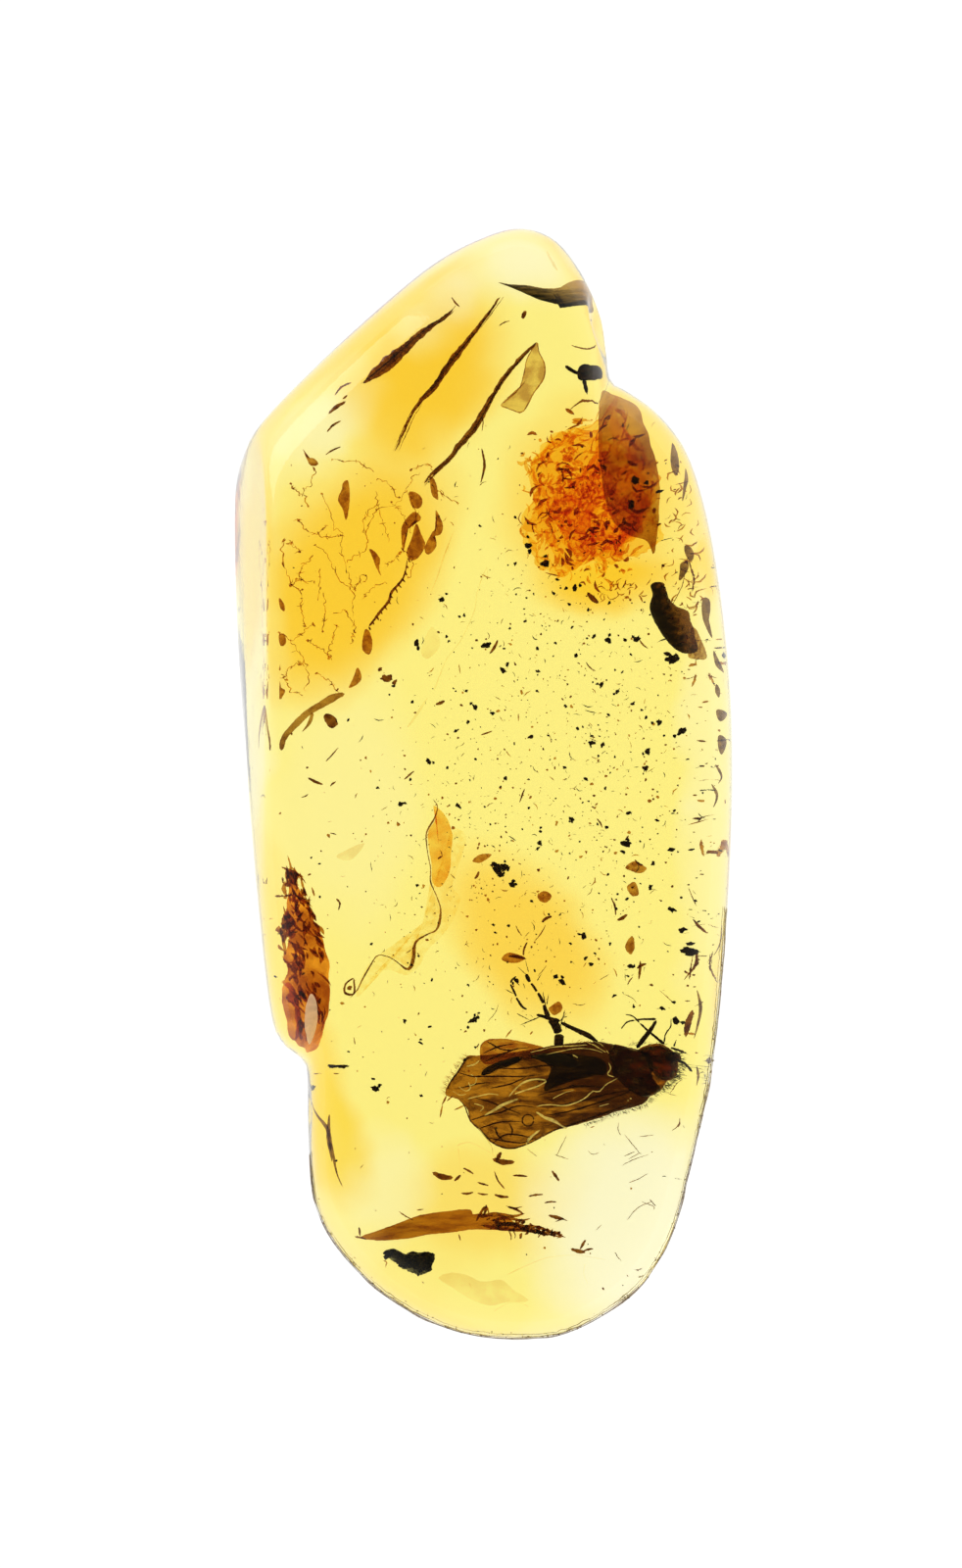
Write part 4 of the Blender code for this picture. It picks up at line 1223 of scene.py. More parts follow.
# %% Cracks and husks
CRACKS = (
    ((304, 530), (312, 540), (323, 544), (332, 538), (336, 536)),
    ((328, 505), (335, 517), (342, 538), (350, 545), (332, 548), (322, 543)),
    ((322, 556), (332, 563), (340, 579), (347, 594), (359, 602), (360, 630)),
    ((321, 566), (309, 579), (304, 591), (296, 598)), ((304, 591), (319, 594)),
    ((307, 602), (308, 619), (312, 640)), ((326, 579), (327, 599), (325, 612)),
    ((347, 545), (349, 563), (354, 579), (360, 602)),
    ((354, 573), (365, 566), (374, 558), (373, 543), (383, 522), (386, 520)),
    ((386, 520), (406, 512), (421, 489), (430, 484)), ((383, 499), (386, 520), (393, 538), (397, 553)),
    ((331, 604), (331, 624), (329, 647)), ((284, 645), (296, 653), (307, 647), (319, 637)),
    ((296, 653), (312, 676), (314, 683), (312, 706)), ((278, 693), (294, 683), (307, 676)),
    ((281, 688), (294, 701), (309, 710)), ((314, 653), (332, 665), (337, 670)),
    ((335, 670), (340, 650), (345, 640)), ((324, 688), (337, 696), (344, 704)),
    ((340, 627), (352, 624), (360, 637), (363, 645)), ((360, 602), (373, 586), (374, 594)),
    ((370, 609), (383, 599), (396, 594)), ((282, 553), (281, 579), (278, 602)), ((294, 553), (307, 563)),
    ((322, 479), (314, 497), (309, 499), (314, 515)), ((296, 494), (307, 505), (309, 507)),
    ((340, 469), (365, 471), (381, 482)), ((383, 489), (396, 494), (406, 507)),
    ((393, 576), (406, 568), (409, 563)), ((357, 658), (362, 642)), ((388, 510), (372, 528), (372, 545)),
    ((399, 512), (412, 525), (420, 545)), ((415, 500), (424, 520), (423, 540)),
    ((446, 484), (436, 474), (420, 478)), ((441, 495), (452, 505), (466, 512)),
    ((410, 560), (422, 572), (418, 590)),
)
# Husks: their outlines and half thickness in millimetres
HUSKS = (
    (((355, 490), (357, 502), (356, 520), (353, 531), (350, 520), (345, 510), (349, 499), (350, 493)),
     0.10),
    (((377, 560), (383, 563), (388, 571), (387, 579), (389, 588), (384, 579), (381, 571)), 0.09),
    (((373, 642), (378, 646), (380, 658), (377, 668), (370, 663), (370, 653)), 0.12),
    (((365, 681), (369, 691), (365, 698), (356, 702), (360, 693)), 0.06),
    (((417, 503), (423, 502), (430, 507), (431, 514), (427, 519), (420, 516)), 0.10),
    (((439, 486), (444, 490), (447, 502), (447, 510), (441, 505), (439, 495)), 0.08),
    (((424, 522), (430, 530), (420, 534), (413, 550), (412, 565), (410, 552), (410, 538), (416, 528)),
     0.09),
    (((425, 534), (430, 545), (434, 556), (428, 568), (420, 572), (415, 564), (420, 550)), 0.08),
    (((445, 520), (452, 535), (450, 545), (442, 548), (446, 556), (438, 566), (433, 560), (440, 545),
      (446, 536)), 0.09),
    (((283, 610), (290, 617), (290, 624), (285, 620)), 0.06),
    (((281, 658), (283, 648), (290, 647), (292, 655), (289, 659)), 0.10),
    (((281, 695), (286, 701), (291, 705), (285, 714), (281, 706)), 0.10),
    (((281, 679), (285, 678), (286, 683), (282, 684)), 0.05),
    (((309, 458), (313, 466), (321, 468), (325, 474), (316, 474)), 0.07),
)
RIM_HUSKS_LEFT_OF = 300  # husks left of this pixel lie near the rim, so they are raised
# Seeds: pixel and three half sizes in millimetres
SEEDS = (
    ((338, 735), (0.22, 0.15, 0.10)), ((395, 692), (0.18, 0.11, 0.10)), ((388, 683), (0.07, 0.05, 0.04)),
    ((403, 696), (0.09, 0.06, 0.05)),
)
SPLINTER = ((283, 766), (289, 754), (297, 744), (312, 729), (328, 719), (342, 711), (352, 708))
SPLINTER_WIDTHS = (0.03, 0.07, 0.10, 0.10, 0.11, 0.14, 0.06)
SPLINTER_BARB = ((319, 727), (316, 737), (308, 747))
SERRATION = ((416, 570), (412, 589), (400, 604), (397, 613), (388, 624), (376, 640))
rng = random.Random(29)
cracks = bmesh.new()
for pixels in CRACKS:
    height = RIM_LIFT + rng.uniform(-0.5, 0.9)
    places = along(pixels, height, height + rng.uniform(-0.2, 0.2))
    points = even_points(places, 5 * len(pixels), closed=False)
    points = [p + Vector((rng.gauss(0, 0.03), rng.gauss(0, 0.03), 0)) for p in points]
    strand(cracks, points, [rng.uniform(0.004, 0.019) for _ in range(12)], sides=5, steps=40)
    for end in (points[0], points[-1]):
        if rng.random() < 0.6:
            crumb(cracks, end, (rng.uniform(0.03, 0.07), rng.uniform(0.02, 0.04), 0.02), rng, dents=0.7)
    for _ in range(3):
        wisp(cracks, rng.choice(points), rng.uniform(0.1, 0.3), 0.012, rng)
finish_piece("crack_dust", cracks, stained(
    "crack_brown", (0.84, 0.62, 0.28), (0.56, 0.34, 0.11), (0.34, 0.16, 0.03), solid=0.06,
    grain_mm=0.2))
husks = bmesh.new()
for pixels, half in HUSKS:
    above = RIM_LIFT + 0.7 if pixels[0][0] < RIM_HUSKS_LEFT_OF else rng.uniform(0.0, 0.8)
    sheet(husks, pixels, above, half, around=36, rings=10, ripple=0.08)
finish_piece("husks", husks, HUSK)
seeds = bmesh.new()
for pixel, size in SEEDS:
    crumb(seeds, spot(pixel, 0.2), size, rng, dents=0.35, fine=3)
strand(seeds, along(SERRATION, 0.1), (0.012, 0.04, 0.05, 0.03), sides=5, steps=30)
for place in even_points(along(SERRATION, 0.1), 13, closed=False):
    barb = place + Vector((0.03, -0.05, 0))
    wisp(seeds, barb, rng.uniform(0.1, 0.24), 0.03, rng, bend=0.4, lie=math.radians(-60))
finish_piece("seeds", seeds, UMBER)
splinter = bmesh.new()
strand(splinter, along(SPLINTER, 0.3, 0.5), SPLINTER_WIDTHS, sides=10, steps=40, flatness=0.4)
strand(splinter, along(SPLINTER_BARB, 0.4), (0.05, 0.05, 0.01), sides=8, steps=12, flatness=0.4)
finish_piece("curved_splinter", splinter, stained(
    "splinter_brown", (0.76, 0.58, 0.32), (0.50, 0.32, 0.14), (0.40, 0.24, 0.08), solid=0.16, grain_mm=0.3,
    stretch=(0.6, 0.6, 1)))

# %% [markdown]
# ## Films and fractures
# A fracture hangs in the middle like a torn curtain. Its torn edge is a brown line that thickens at
# the folds, behind it the film tints the resin a little, and an orange wedge of dust lies in its
# upper part. A second pale film lies near the lower end, with hair-thin cracks beside it.

# %% Films
FRACTURE_LINE = (
    (442, 815), (447, 823), (444, 835), (436, 850), (437, 869), (440, 885), (440, 900), (446, 914),
    (450, 930), (446, 948), (435, 954), (424, 962), (422, 978), (416, 989), (400, 978), (386, 975),
    (378, 986), (370, 1000), (364, 1012), (357, 1019),
)
FRACTURE_WIDTHS = (
    0.01, 0.02, 0.03, 0.02, 0.014, 0.014, 0.02, 0.014, 0.02, 0.05, 0.02, 0.03, 0.06, 0.06, 0.02, 0.014,
    0.02, 0.03, 0.02, 0.01,
)
WEDGE_EDGE = (
    (443, 822), (455, 832), (462, 850), (461, 870), (459, 890), (450, 905), (442, 900), (441, 880),
    (438, 862), (438, 848), (446, 834),
)
CURTAIN_EDGE = (
    (462, 845), (476, 852), (472, 872), (466, 890), (462, 905), (470, 916), (466, 930), (458, 946),
    (448, 958), (436, 970), (428, 985), (415, 995), (398, 990), (384, 992), (374, 1006), (364, 1018),
    (368, 1000), (380, 980), (398, 974), (416, 986), (422, 965), (444, 948), (449, 930), (440, 900),
    (452, 880), (458, 862),
)
PALE_FLAKES = (
    ((343, 874), (356, 866), (372, 860), (366, 870), (356, 878)),
    ((440, 640), (449, 652), (446, 664), (436, 672), (430, 664)),
    ((447, 1304), (460, 1299), (476, 1301), (492, 1308), (512, 1306), (524, 1316), (540, 1328),
     (520, 1328), (500, 1332), (480, 1326), (462, 1314)),
)
BROWN_FLAKES = (
    ((638, 966), (645, 955), (648, 966), (644, 974)),
    ((563, 1026), (571, 1022), (574, 1030), (566, 1036), (560, 1030)),
    ((512, 978), (520, 972), (536, 977), (529, 982), (518, 982)),
    ((638, 885), (648, 879), (660, 886), (654, 891), (645, 889)),
    ((482, 879), (490, 872), (502, 872), (492, 880)),
    ((549, 914), (556, 909), (563, 914), (558, 921), (552, 920)),
    ((640, 905), (648, 900), (652, 912), (645, 914)), ((716, 865), (720, 856), (724, 864), (721, 874)),
)
PALE_LINES = (
    (((497, 578), (492, 590), (487, 606), (484, 624), (470, 654), (456, 672), (442, 706)),
     (0.02, 0.015, 0.015, 0.02)),
    (((497, 578), (498, 592)), (0.01, 0.005)), (((436, 712), (426, 728), (416, 742)), (0.03, 0.05, 0.02)),
    (((464, 540), (456, 560), (446, 590), (440, 604)), (0.01, 0.03, 0.01)),
    (((458, 556), (450, 575)), (0.03, 0.01)),
    (((517, 1301), (536, 1292), (560, 1283), (590, 1281), (620, 1286)), (0.012, 0.010, 0.007)),
    (((504, 1339), (518, 1330), (530, 1329), (540, 1334)), (0.012, 0.010)),
    (((479, 1309), (481, 1316), (476, 1320)), (0.012, 0.006)),
    (((597, 1290), (596, 1300), (600, 1310)), (0.010, 0.006)),
    (((562, 249), (566, 262), (575, 275)), (0.020, 0.010)),
    (((466, 1169), (480, 1166), (500, 1176), (512, 1186)), (0.010, 0.008)),
    (((468, 1172), (470, 1190), (468, 1204)), (0.008, 0.004)),
)
LOOP = ((361, 998), (353, 1004), (352, 1013), (362, 1014), (361, 998))
LOOP_KNOT = (357, 1008)
# Loose bits: their pixels and half width in millimetres
LOOSE_BITS = (
    (((343, 917), (347, 922), (345, 929)), 0.03), (((337, 850), (344, 852)), 0.02),
    (((281, 902), (283, 895)), 0.012),
)
fracture = bmesh.new()
strand(fracture, along(FRACTURE_LINE, 0.3, 0.5), FRACTURE_WIDTHS, sides=8, steps=110, flatness=0.5)
finish_piece("fracture_line", fracture, stained(
    "fracture_brown", (0.66, 0.44, 0.18), (0.40, 0.24, 0.09), (0.26, 0.13, 0.03), solid=0.22,
    grain_mm=0.35))
sheet_piece("fracture_wedge", WEDGE_EDGE, 0.2, 0.10, stained(
    "wedge_orange", (0.96, 0.82, 0.48), (0.92, 0.68, 0.32), (0.60, 0.34, 0.08), solid=0.0,
    grain_mm=0.5), "debris", around=80, rings=12, ripple=0.08)
sheet_piece("fracture_curtain", CURTAIN_EDGE, 0.4, 0.05, HONEY, "debris", around=160, rings=10,
            ripple=0.05)
flakes = bmesh.new()
for pixels in BROWN_FLAKES:
    sheet(flakes, pixels, rng.uniform(-0.6, 0.8), 0.06, around=32, rings=8, ripple=0.12)
finish_piece("brown_flakes", flakes, HUSK)
pale = bmesh.new()
for pixels in PALE_FLAKES:
    sheet(pale, pixels, rng.uniform(-0.6, 0.8), 0.06, around=40, rings=8, ripple=0.08)
for pixels, widths in PALE_LINES:
    strand(pale, along(pixels, 0.4, 0.2), widths, sides=5, steps=26)
finish_piece("pale_films", pale, stained(
    "pale_film", (0.985, 0.96, 0.91), (0.95, 0.90, 0.83), (0.60, 0.44, 0.20), solid=0.0,
    grain_mm=0.8))
loop = bmesh.new()
strand(loop, along(LOOP, 0.2), (0.03, 0.045, 0.03), sides=6, steps=26)
crumb(loop, spot(LOOP_KNOT, 0.2), (0.10, 0.07, 0.05), rng, fine=2)
for pixels, half in LOOSE_BITS:
    strand(loop, along(pixels, 0.3), (half, half, half * 0.4), sides=5, steps=8)
finish_piece("dark_loop", loop, UMBER)

# %% [markdown]
# ## Specks, flecks and dust
# The largest specks are listed one by one, because their pattern is what the eye remembers. Fine
# dust is drawn at random from a fixed seed: dense in the middle and right, thin on the left. Flecks
# under the insect are spindles that lie mostly level.

# %% Specks and dust
# Specks: their pixels and half sizes in millimetres
SPECKS = (
    ((497, 658), 0.13), ((588, 669), 0.07), ((621, 653), 0.10), ((606, 649), 0.07), ((650, 652), 0.10),
    ((638, 653), 0.06), ((514, 684), 0.10), ((518, 678), 0.07), ((549, 685), 0.07), ((485, 722), 0.10),
    ((542, 752), 0.08), ((604, 758), 0.09), ((615, 760), 0.08), ((604, 751), 0.05), ((696, 746), 0.12),
    ((673, 737), 0.09), ((659, 732), 0.05), ((659, 784), 0.10), ((661, 767), 0.09), ((598, 795), 0.07),
    ((584, 836), 0.09), ((610, 841), 0.05), ((639, 861), 0.13), ((641, 830), 0.07), ((516, 794), 0.07),
    ((576, 783), 0.06), ((618, 805), 0.05), ((409, 820), 0.09), ((469, 823), 0.08), ((438, 777), 0.09),
    ((402, 700), 0.06), ((507, 887), 0.18), ((515, 884), 0.13), ((504, 882), 0.10), ((511, 893), 0.09),
    ((523, 903), 0.11), ((551, 860), 0.09), ((549, 866), 0.06), ((685, 867), 0.08), ((641, 857), 0.06),
    ((671, 837), 0.06), ((685, 928), 0.11), ((697, 949), 0.09), ((704, 970), 0.15), ((706, 963), 0.08),
    ((596, 955), 0.11), ((591, 953), 0.06), ((598, 978), 0.07), ((603, 984), 0.08), ((644, 986), 0.10),
    ((641, 996), 0.05), ((567, 997), 0.08), ((574, 1002), 0.10), ((582, 963), 0.05), ((623, 963), 0.05),
    ((527, 1000), 0.09), ((481, 1042), 0.10), ((485, 1040), 0.09), ((488, 1038), 0.06),
    ((413, 1042), 0.07), ((676, 1029), 0.07), ((690, 1041), 0.10), ((383, 1111), 0.11),
    ((381, 1101), 0.05), ((647, 1027), 0.06), ((627, 1016), 0.06), ((429, 1064), 0.06),
    ((430, 1118), 0.05), ((344, 1088), 0.06), ((552, 845), 0.05), ((667, 881), 0.07), ((664, 905), 0.07),
    ((646, 718), 0.06), ((630, 706), 0.07), ((614, 699), 0.08), ((610, 698), 0.05), ((635, 686), 0.05),
    ((548, 705), 0.05), ((503, 728), 0.07), ((577, 721), 0.06), ((425, 657), 0.10), ((427, 662), 0.07),
    ((458, 654), 0.05), ((474, 628), 0.05), ((451, 612), 0.09), ((456, 606), 0.05), ((469, 629), 0.05),
    ((526, 528), 0.05), ((539, 556), 0.11), ((541, 563), 0.08), ((556, 575), 0.13), ((587, 600), 0.11),
    ((592, 597), 0.06), ((567, 656), 0.05), ((584, 640), 0.05), ((537, 610), 0.04), ((545, 606), 0.04),
    ((648, 490), 0.13), ((645, 515), 0.11), ((622, 615), 0.05), ((526, 575), 0.06), ((688, 672), 0.16),
    ((682, 668), 0.10), ((386, 804), 0.05), ((421, 716), 0.06), ((543, 920), 0.05), ((560, 933), 0.05),
    ((572, 933), 0.05), ((504, 944), 0.06), ((506, 952), 0.06), ((478, 1005), 0.05), ((420, 985), 0.06),
    ((441, 1000), 0.05),
)
# Flecks: their pixels, half length, half width and direction in degrees
FLECKS = (
    ((452, 1199), 0.34, 0.10, -14), ((467, 1202), 0.14, 0.05, 40), ((514, 1184), 0.36, 0.10, -8),
    ((509, 1180), 0.16, 0.07, 60), ((531, 1200), 0.24, 0.04, -4), ((510, 1204), 0.34, 0.03, -58),
    ((567, 1200), 0.20, 0.05, -55), ((477, 1217), 0.20, 0.04, 4), ((493, 1218), 0.18, 0.035, -6),
    ((512, 1220), 0.24, 0.05, -10), ((547, 1220), 0.24, 0.035, 6), ((562, 1227), 0.20, 0.03, 4),
    ((478, 1195), 0.20, 0.035, -30), ((493, 1208), 0.20, 0.03, -16), ((526, 1235), 0.28, 0.05, -24),
    ((568, 1242), 0.26, 0.06, -12), ((495, 1235), 0.18, 0.05, 75), ((590, 1276), 0.22, 0.07, -10),
    ((595, 1270), 0.18, 0.045, 58), ((600, 1276), 0.18, 0.03, 20), ((450, 875), 0.10, 0.03, 30),
    ((487, 893), 0.14, 0.05, 60), ((558, 938), 0.20, 0.06, 30), ((640, 855), 0.10, 0.03, 60),
    ((533, 812), 0.24, 0.03, 70), ((626, 925), 0.30, 0.035, -75), ((635, 936), 0.18, 0.06, 35),
    ((715, 945), 0.24, 0.03, -70), ((612, 840), 0.18, 0.03, -60), ((652, 880), 0.16, 0.04, -40),
    ((655, 986), 0.16, 0.05, 30), ((653, 990), 0.30, 0.04, 85), ((528, 977), 0.30, 0.06, -10),
    ((536, 968), 0.24, 0.04, 75), ((551, 952), 0.34, 0.02, 55), ((530, 950), 0.20, 0.02, -60),
    ((322, 797), 0.24, 0.05, -30), ((340, 800), 0.12, 0.03, 40), ((339, 770), 0.30, 0.025, 50),
    ((311, 812), 0.10, 0.02, 30), ((418, 791), 0.22, 0.03, 40), ((449, 717), 0.16, 0.06, 20),
    ((605, 610), 0.26, 0.09, -45), ((657, 657), 0.20, 0.03, -50), ((603, 680), 0.22, 0.025, -45),
    ((504, 660), 0.26, 0.05, 60), ((497, 748), 0.20, 0.03, 20), ((643, 1001), 0.16, 0.02, 60),
    ((535, 321), 0.13, 0.07, 70), ((515, 330), 0.18, 0.02, 25), ((602, 321), 0.16, 0.05, -6),
    ((595, 355), 0.20, 0.02, -35), ((344, 416), 0.34, 0.055, 38), ((341, 435), 0.30, 0.035, 40),
    ((350, 397), 0.34, 0.03, 40), ((465, 308), 0.16, 0.03, -50), ((340, 460), 0.28, 0.03, 30),
    ((352, 405), 0.10, 0.03, 40), ((491, 475), 0.56, 0.045, 89), ((492, 432), 0.26, 0.02, 88),
    ((601, 408), 0.34, 0.02, 66), ((705, 985), 0.50, 0.02, 78), ((722, 1045), 0.44, 0.06, 80),
    ((729, 1020), 0.30, 0.06, 88),
)
HAIRS = (
    ((568, 1180), (573, 1170), (579, 1158)), ((566, 1178), (581, 1183)),
    ((637, 1157), (646, 1168), (655, 1179)), ((634, 1190), (645, 1184), (663, 1178)),
    ((684, 1116), (690, 1108), (697, 1102)), ((697, 1141), (699, 1149), (704, 1156)),
    ((632, 1145), (631, 1152), (634, 1159)), ((640, 1245), (652, 1232), (668, 1226)),
    ((655, 1226), (668, 1231), (686, 1234)), ((664, 1224), (678, 1232)),
    ((641, 1207), (652, 1203), (662, 1197)), ((637, 1180), (648, 1175)),
    ((705, 1000), (707, 985), (709, 973)), ((673, 1010), (682, 1018), (690, 1025)),
    ((635, 1014), (645, 1018), (650, 1024)), ((509, 1024), (505, 1034), (497, 1043)),
    ((612, 1000), (622, 994)), ((584, 1024), (592, 1026), (598, 1024)),
    ((600, 1174), (605, 1178), (612, 1176)), ((538, 1172), (548, 1180)), ((361, 1058), (362, 1066)),
    ((703, 905), (707, 915), (712, 925)), ((685, 620), (696, 600), (700, 585)),
    ((703, 566), (712, 588), (724, 604)), ((641, 1183), (655, 1176)), ((652, 1160), (668, 1158)),
    ((558, 985), (549, 996)),
)
DUST_ACROSS = (270, 745)  # pixels between which dust lies
DUST_DOWN = (430, 1330)
DUST_LEAST = 0.02  # chance of a grain far from the thick places
# Where dust is thick: middle and reach in pixels, and strength
DUST_THICK = (((590, 760), (120, 190), 0.9), ((470, 900), (110, 150), 0.35))
# Dust: name, material, count, least and greatest half size in millimetres
DUST = (
    ("dust_black", INK, 460, 0.018, 0.055), ("dust_brown", UMBER, 900, 0.013, 0.040),
    ("dust_honey", HUSK, 420, 0.016, 0.055),
)
WISP_CHANCE = 0.3
LARGE_SPECK = 0.08  # specks over this half size have a smaller one beside them
rng = random.Random(41)
specks = bmesh.new()
for pixel, half in SPECKS:
    place = spot(pixel, rng.uniform(-0.9, 1.1))
    crumb(specks, place, (half * 1.05, half * 0.7, half * 0.6), rng, dents=0.55, fine=2)
    if half > LARGE_SPECK:
        beside = place + Vector((rng.gauss(0, half), rng.gauss(0, half), 0))
        crumb(specks, beside, (half * 0.6, half * 0.5, half * 0.5), rng, dents=0.6)
finish_piece("black_specks", specks, INK)
flecks = bmesh.new()
for pixel, half_length, half, lie in FLECKS:
    turn = math.radians(lie)
    reach = Vector((math.cos(turn), math.sin(turn), 0)) * half_length
    side = Vector((-reach.y, reach.x, 0)) * rng.uniform(-0.2, 0.2)
    place = spot(pixel, rng.uniform(-0.4, 0.6))
    places = (place - reach, place + side, place + reach)
    strand(flecks, places, (half * 0.5, half, half * 0.5), sides=7, steps=10, flatness=0.5)
finish_piece("spindle_flecks", flecks, UMBER)
hairs = bmesh.new()
for pixels in HAIRS:
    strand(hairs, along(pixels, rng.uniform(-0.3, 0.6)), (0.006, 0.011, 0.006), sides=4, steps=10)
finish_piece("loose_hairs", hairs, UMBER)


def dust_place(rng):
    """A place for a grain: mostly in the middle and right of the stone."""
    while True:
        px, py = rng.uniform(*DUST_ACROSS), rng.uniform(*DUST_DOWN)
        weight = DUST_LEAST
        for (x, y), (wide, tall), strength in DUST_THICK:
            weight += strength * math.exp(-((px - x) / wide) ** 2 - ((py - y) / tall) ** 2)
        place = spot((px, py), rng.gauss(0.1, 0.9))
        if rng.random() < weight and well_inside(place.x, place.y):
            return place


for name, material, count, small, large in DUST:
    dust = bmesh.new()
    for _ in range(count):
        size = small + (large - small) * rng.random() ** 2.5
        if rng.random() < WISP_CHANCE:
            wisp(dust, dust_place(rng), size * rng.uniform(4, 9), size * 0.35, rng)
        else:
            crumb(dust, dust_place(rng), (size * rng.uniform(0.8, 1.6), size, size * 0.8), rng, dents=0.5)
    finish_piece(name, dust, material)

# %% [markdown]
# ## Scraps at the rim
# Near the right rim small curved scraps stand edge-on, so they read as grey and brown crescents.
# Arcs of bast lie round them, and longer scraps follow the lower left rim. The lower rim has a thin
# crust: lines and grains laid on the polished surface, which is found by dropping a ray on it.

# %% Rim scraps
RIM_SCRAPS = (
    (((687, 452), (692, 462), (694, 476), (691, 486), (686, 478), (685, 464)), 0.10),
    (((700, 478), (703, 488), (701, 498), (697, 512), (698, 496)), 0.06),
    (((699, 557), (705, 558), (709, 566), (706, 573), (700, 566)), 0.12),
    (((695, 575), (702, 572), (703, 580), (697, 590), (693, 592), (694, 583)), 0.07),
    (((718, 611), (725, 612), (726, 622), (724, 636), (728, 652), (721, 640), (717, 626)), 0.09),
    (((729, 664), (735, 674), (738, 686), (732, 680)), 0.06),
    (((732, 698), (736, 704), (735, 712), (731, 706)), 0.08),
    (((733, 724), (741, 728), (739, 736), (734, 734)), 0.08),
    (((735, 750), (740, 756), (738, 770), (734, 762)), 0.05),
)
RIM_ARCS = (
    ((322, 1128), (330, 1148), (337, 1170), (343, 1196), (350, 1212)),
    ((326, 1136), (334, 1160), (338, 1186)), ((712, 1010), (716, 1028), (713, 1046), (709, 1060)),
    ((735, 945), (734, 960), (730, 975)), ((727, 800), (733, 812), (729, 824)),
    ((731, 780), (738, 792), (734, 800)), ((712, 1088), (714, 1098), (712, 1108)),
)
ARCS = 80
ARCS_ACROSS = (676, 728)  # pixels between which the arcs lie
ARCS_DOWN = (440, 720, 520)  # least, greatest and likeliest
CURLS = 30
CURLS_ACROSS = (606, 662)
CURLS_DOWN = (592, 614)
CRUST_START = 27  # the point of the outline at which the crust begins
CRUST_POINTS = 300
# Lines of crust: millimetres from the outline, half width, and how finely it wanders
CRUST_LINES = ((0.07, 0.030, 1.0), (0.15, 0.022, 3.0), (0.24, 0.014, 6.0))
CRUST_GRAINS = 130
CRUST_THICKEST = 40  # the point of the crust's line where most grains lie
scraps = bmesh.new()
for pixels, half in RIM_SCRAPS:
    sheet(scraps, pixels, RIM_LIFT + rng.uniform(0.7, 1.0), half * 0.6, around=36, rings=10)
for pixels in RIM_ARCS:
    places = along(pixels, RIM_LIFT + 0.8)
    strand(scraps, places, (0.015, 0.05, 0.035, 0.01), sides=6, steps=24, flatness=0.6)
finish_piece("rim_scraps", scraps, stained(
    "grey_brown_scrap", (0.70, 0.56, 0.42), (0.46, 0.34, 0.24), (0.26, 0.19, 0.13), solid=0.25))
arcs = bmesh.new()
for _ in range(ARCS):
    pixel = (rng.uniform(*ARCS_ACROSS), rng.triangular(*ARCS_DOWN))
    place = spot(pixel, RIM_LIFT + rng.uniform(-0.2, 1.1))
    if well_inside(place.x, place.y, 1.04):
        wisp(arcs, place, rng.uniform(0.12, 0.4), rng.uniform(0.012, 0.028), rng, bend=0.9)
for _ in range(CURLS):
    pixel = (rng.uniform(*CURLS_ACROSS), rng.uniform(*CURLS_DOWN))
    place = spot(pixel, rng.uniform(-0.3, 0.5))
    wisp(arcs, place, rng.uniform(0.1, 0.35), rng.uniform(0.012, 0.026), rng, bend=0.9)
finish_piece("bast_arcs", arcs, HUSK)


def on_stone(point, inward):
    """The place on the polished surface over a point of the outline, moved inward by millimetres."""
    way = point.to_2d().normalized() * inward
    height = crown_height(point.x - way.x, point.y - way.y)
    return None if height is None else Vector((point.x - way.x, point.y - way.y, height))


crust = bmesh.new()
crust_line = [p.to_3d() for p in even_points(OUTLINE[CRUST_START:], CRUST_POINTS, closed=False)]
for inward, half, wander in CRUST_LINES:
    points = [on_stone(p, inward + 0.05 * noise.noise(p * wander)) for p in crust_line]
    points = [p for p in points if p]
    depth = Vector((0, 0, wander))
    widths = [half * max(0.2, 1 + 1.6 * noise.noise(p * 1.3 + depth)) for p in points[::4]]
    strand(crust, points, widths, sides=6, steps=240, flatness=0.5)
for _ in range(CRUST_GRAINS):
    at = int(rng.triangular(0, CRUST_POINTS - 1, CRUST_THICKEST))
    place = on_stone(crust_line[at], abs(rng.gauss(0.0, 0.12)) + 0.06)
    size = rng.uniform(0.02, 0.06)
    if place:
        crumb(crust, place, (size, size * 0.6, size * 0.4), rng, dents=0.6)
finish_piece("rim_crust", crust, stained(
    "pale_crust", (0.88, 0.84, 0.78), (0.68, 0.60, 0.52), (0.55, 0.47, 0.38), solid=0.30))

# %% [markdown]
# ## Stage
# The stone was photographed on a glowing white table, so light comes up through it. The floor both
# reflects and glows a little, the sky is a soft white that is dimmer at its top, and one large soft
# lamp models the crown.

# %% Floor, light and camera
FLOOR_BELOW = 0.0002
FLOOR_HALF = 0.6
FLOOR_GLOW = 1.0
SKY_TOP = 0.05
SKY_RIM = 0.85
LAMP_WATTS = 0.35
LAMP_SIZE = 0.25
LAMP_PLACE = Vector((-0.34, 0.26, 0.22))
SENSOR = 36.0
PHOTO_HEIGHT = 1600  # pixels
FRAME_HEIGHT_MM = PHOTO_HEIGHT / PIXELS_PER_MM


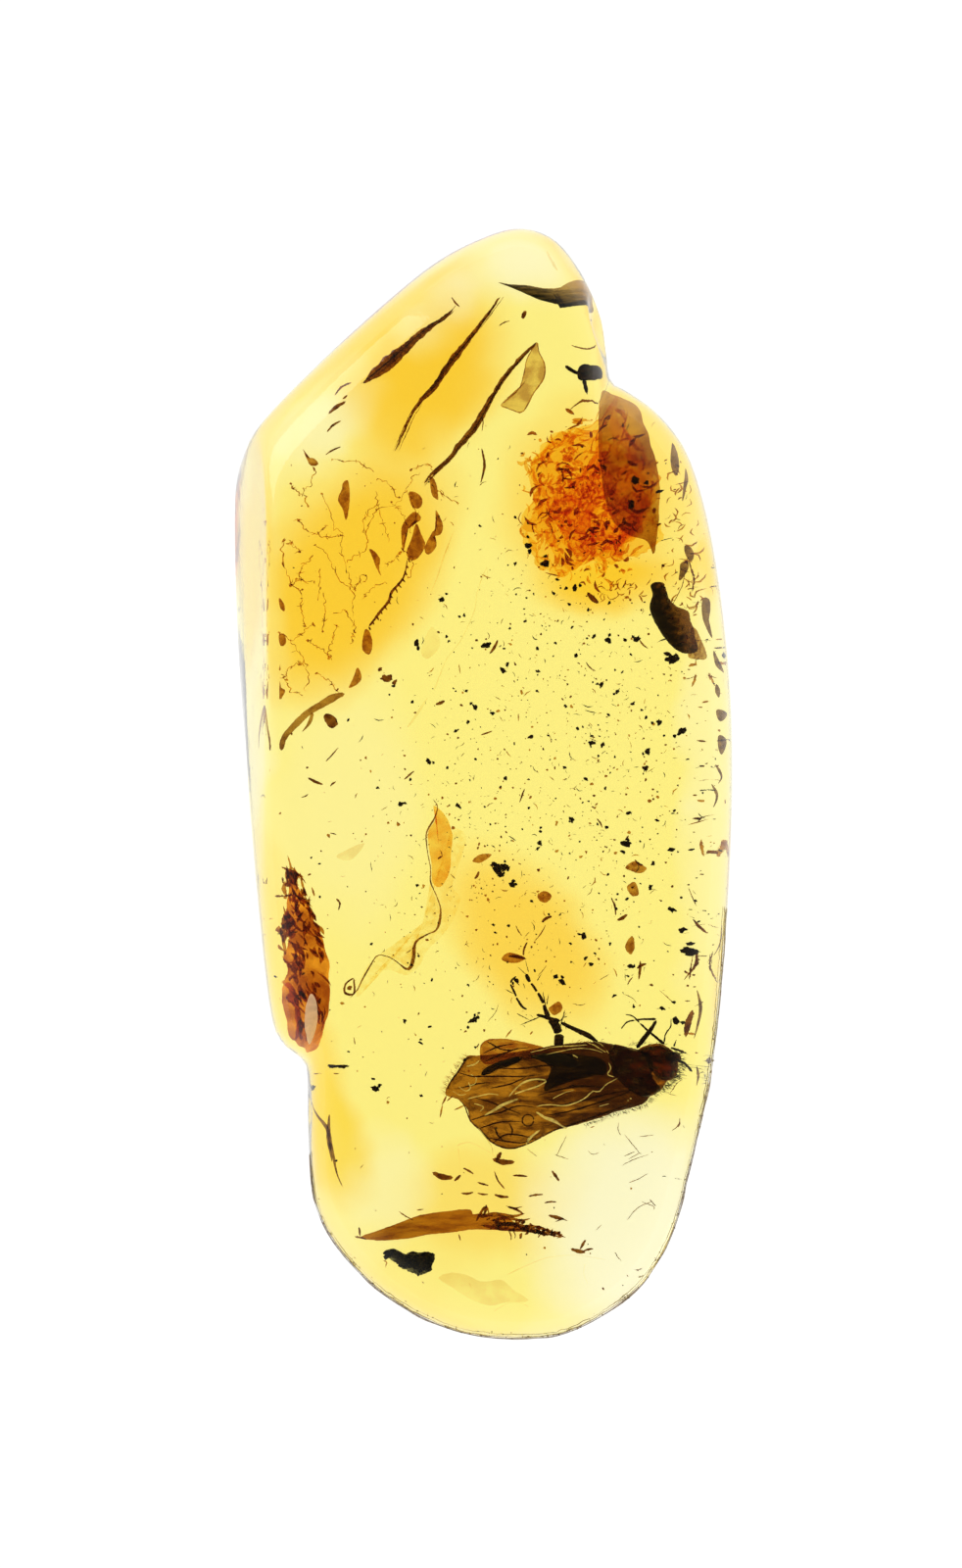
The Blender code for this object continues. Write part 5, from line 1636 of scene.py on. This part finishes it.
def floor():
    recipe = Recipe("table")
    dust = recipe.noise(6.0)
    grey = recipe.mix(dust, (0.30, 0.30, 0.30), (0.32, 0.32, 0.32))
    glowing = matte(recipe, grey, 0.8, **{"Emission Color": (1, 1, 1), "Emission Strength": FLOOR_GLOW})
    bm = bmesh.new()
    bmesh.ops.create_grid(bm, x_segments=1, y_segments=1, size=FLOOR_HALF)
    bmesh.ops.translate(bm, vec=(0, 0, -FLOOR_BELOW), verts=bm.verts)
    mesh = bpy.data.meshes.new("table")
    bm.to_mesh(mesh)
    bm.free()
    mesh.materials.append(recipe.surface(glowing))
    table = bpy.data.objects.new("table", mesh)
    bpy.context.scene.collection.objects.link(table)


def sky():
    world = bpy.data.worlds.new("soft_studio")
    world.use_nodes = True
    nodes = world.node_tree.nodes
    links = world.node_tree.links
    where = nodes.new("ShaderNodeTexCoord")
    split = nodes.new("ShaderNodeSeparateXYZ")
    links.new(where.outputs["Generated"], split.inputs[0])
    ramp = nodes.new("ShaderNodeMapRange")
    links.new(split.outputs[2], ramp.inputs["Value"])
    ramp.inputs["From Min"].default_value = 0.0
    ramp.inputs["From Max"].default_value = 0.8
    ramp.inputs["To Min"].default_value = SKY_RIM
    ramp.inputs["To Max"].default_value = SKY_TOP
    links.new(ramp.outputs["Result"], nodes["Background"].inputs["Strength"])
    nodes["Background"].inputs["Color"].default_value = (1, 1, 1, 1)
    bpy.context.scene.world = world


def lamp():
    data = bpy.data.lights.new("softbox", "AREA")
    data.energy = LAMP_WATTS
    data.size = LAMP_SIZE
    softbox = bpy.data.objects.new("softbox", data)
    softbox.location = LAMP_PLACE
    softbox.rotation_euler = (-LAMP_PLACE).to_track_quat("-Z", "Y").to_euler()
    bpy.context.scene.collection.objects.link(softbox)


def camera():
    data = bpy.data.cameras.new("camera")
    data.sensor_width = SENSOR
    data.lens = SENSOR * CAMERA_DISTANCE / FRAME_HEIGHT_MM
    eye = bpy.data.objects.new("camera", data)
    eye.location = CAMERA_EYE * MM
    bpy.context.scene.collection.objects.link(eye)
    bpy.context.scene.camera = eye


floor()
sky()
lamp()
camera()
scene = bpy.context.scene
scene.view_settings.view_transform = "Standard"
scene.cycles.transparent_max_bounces = 48
scene.cycles.transmission_bounces = 24
scene.cycles.max_bounces = 32
print("camera", CAMERA_DISTANCE, "mm above the stone's widest")
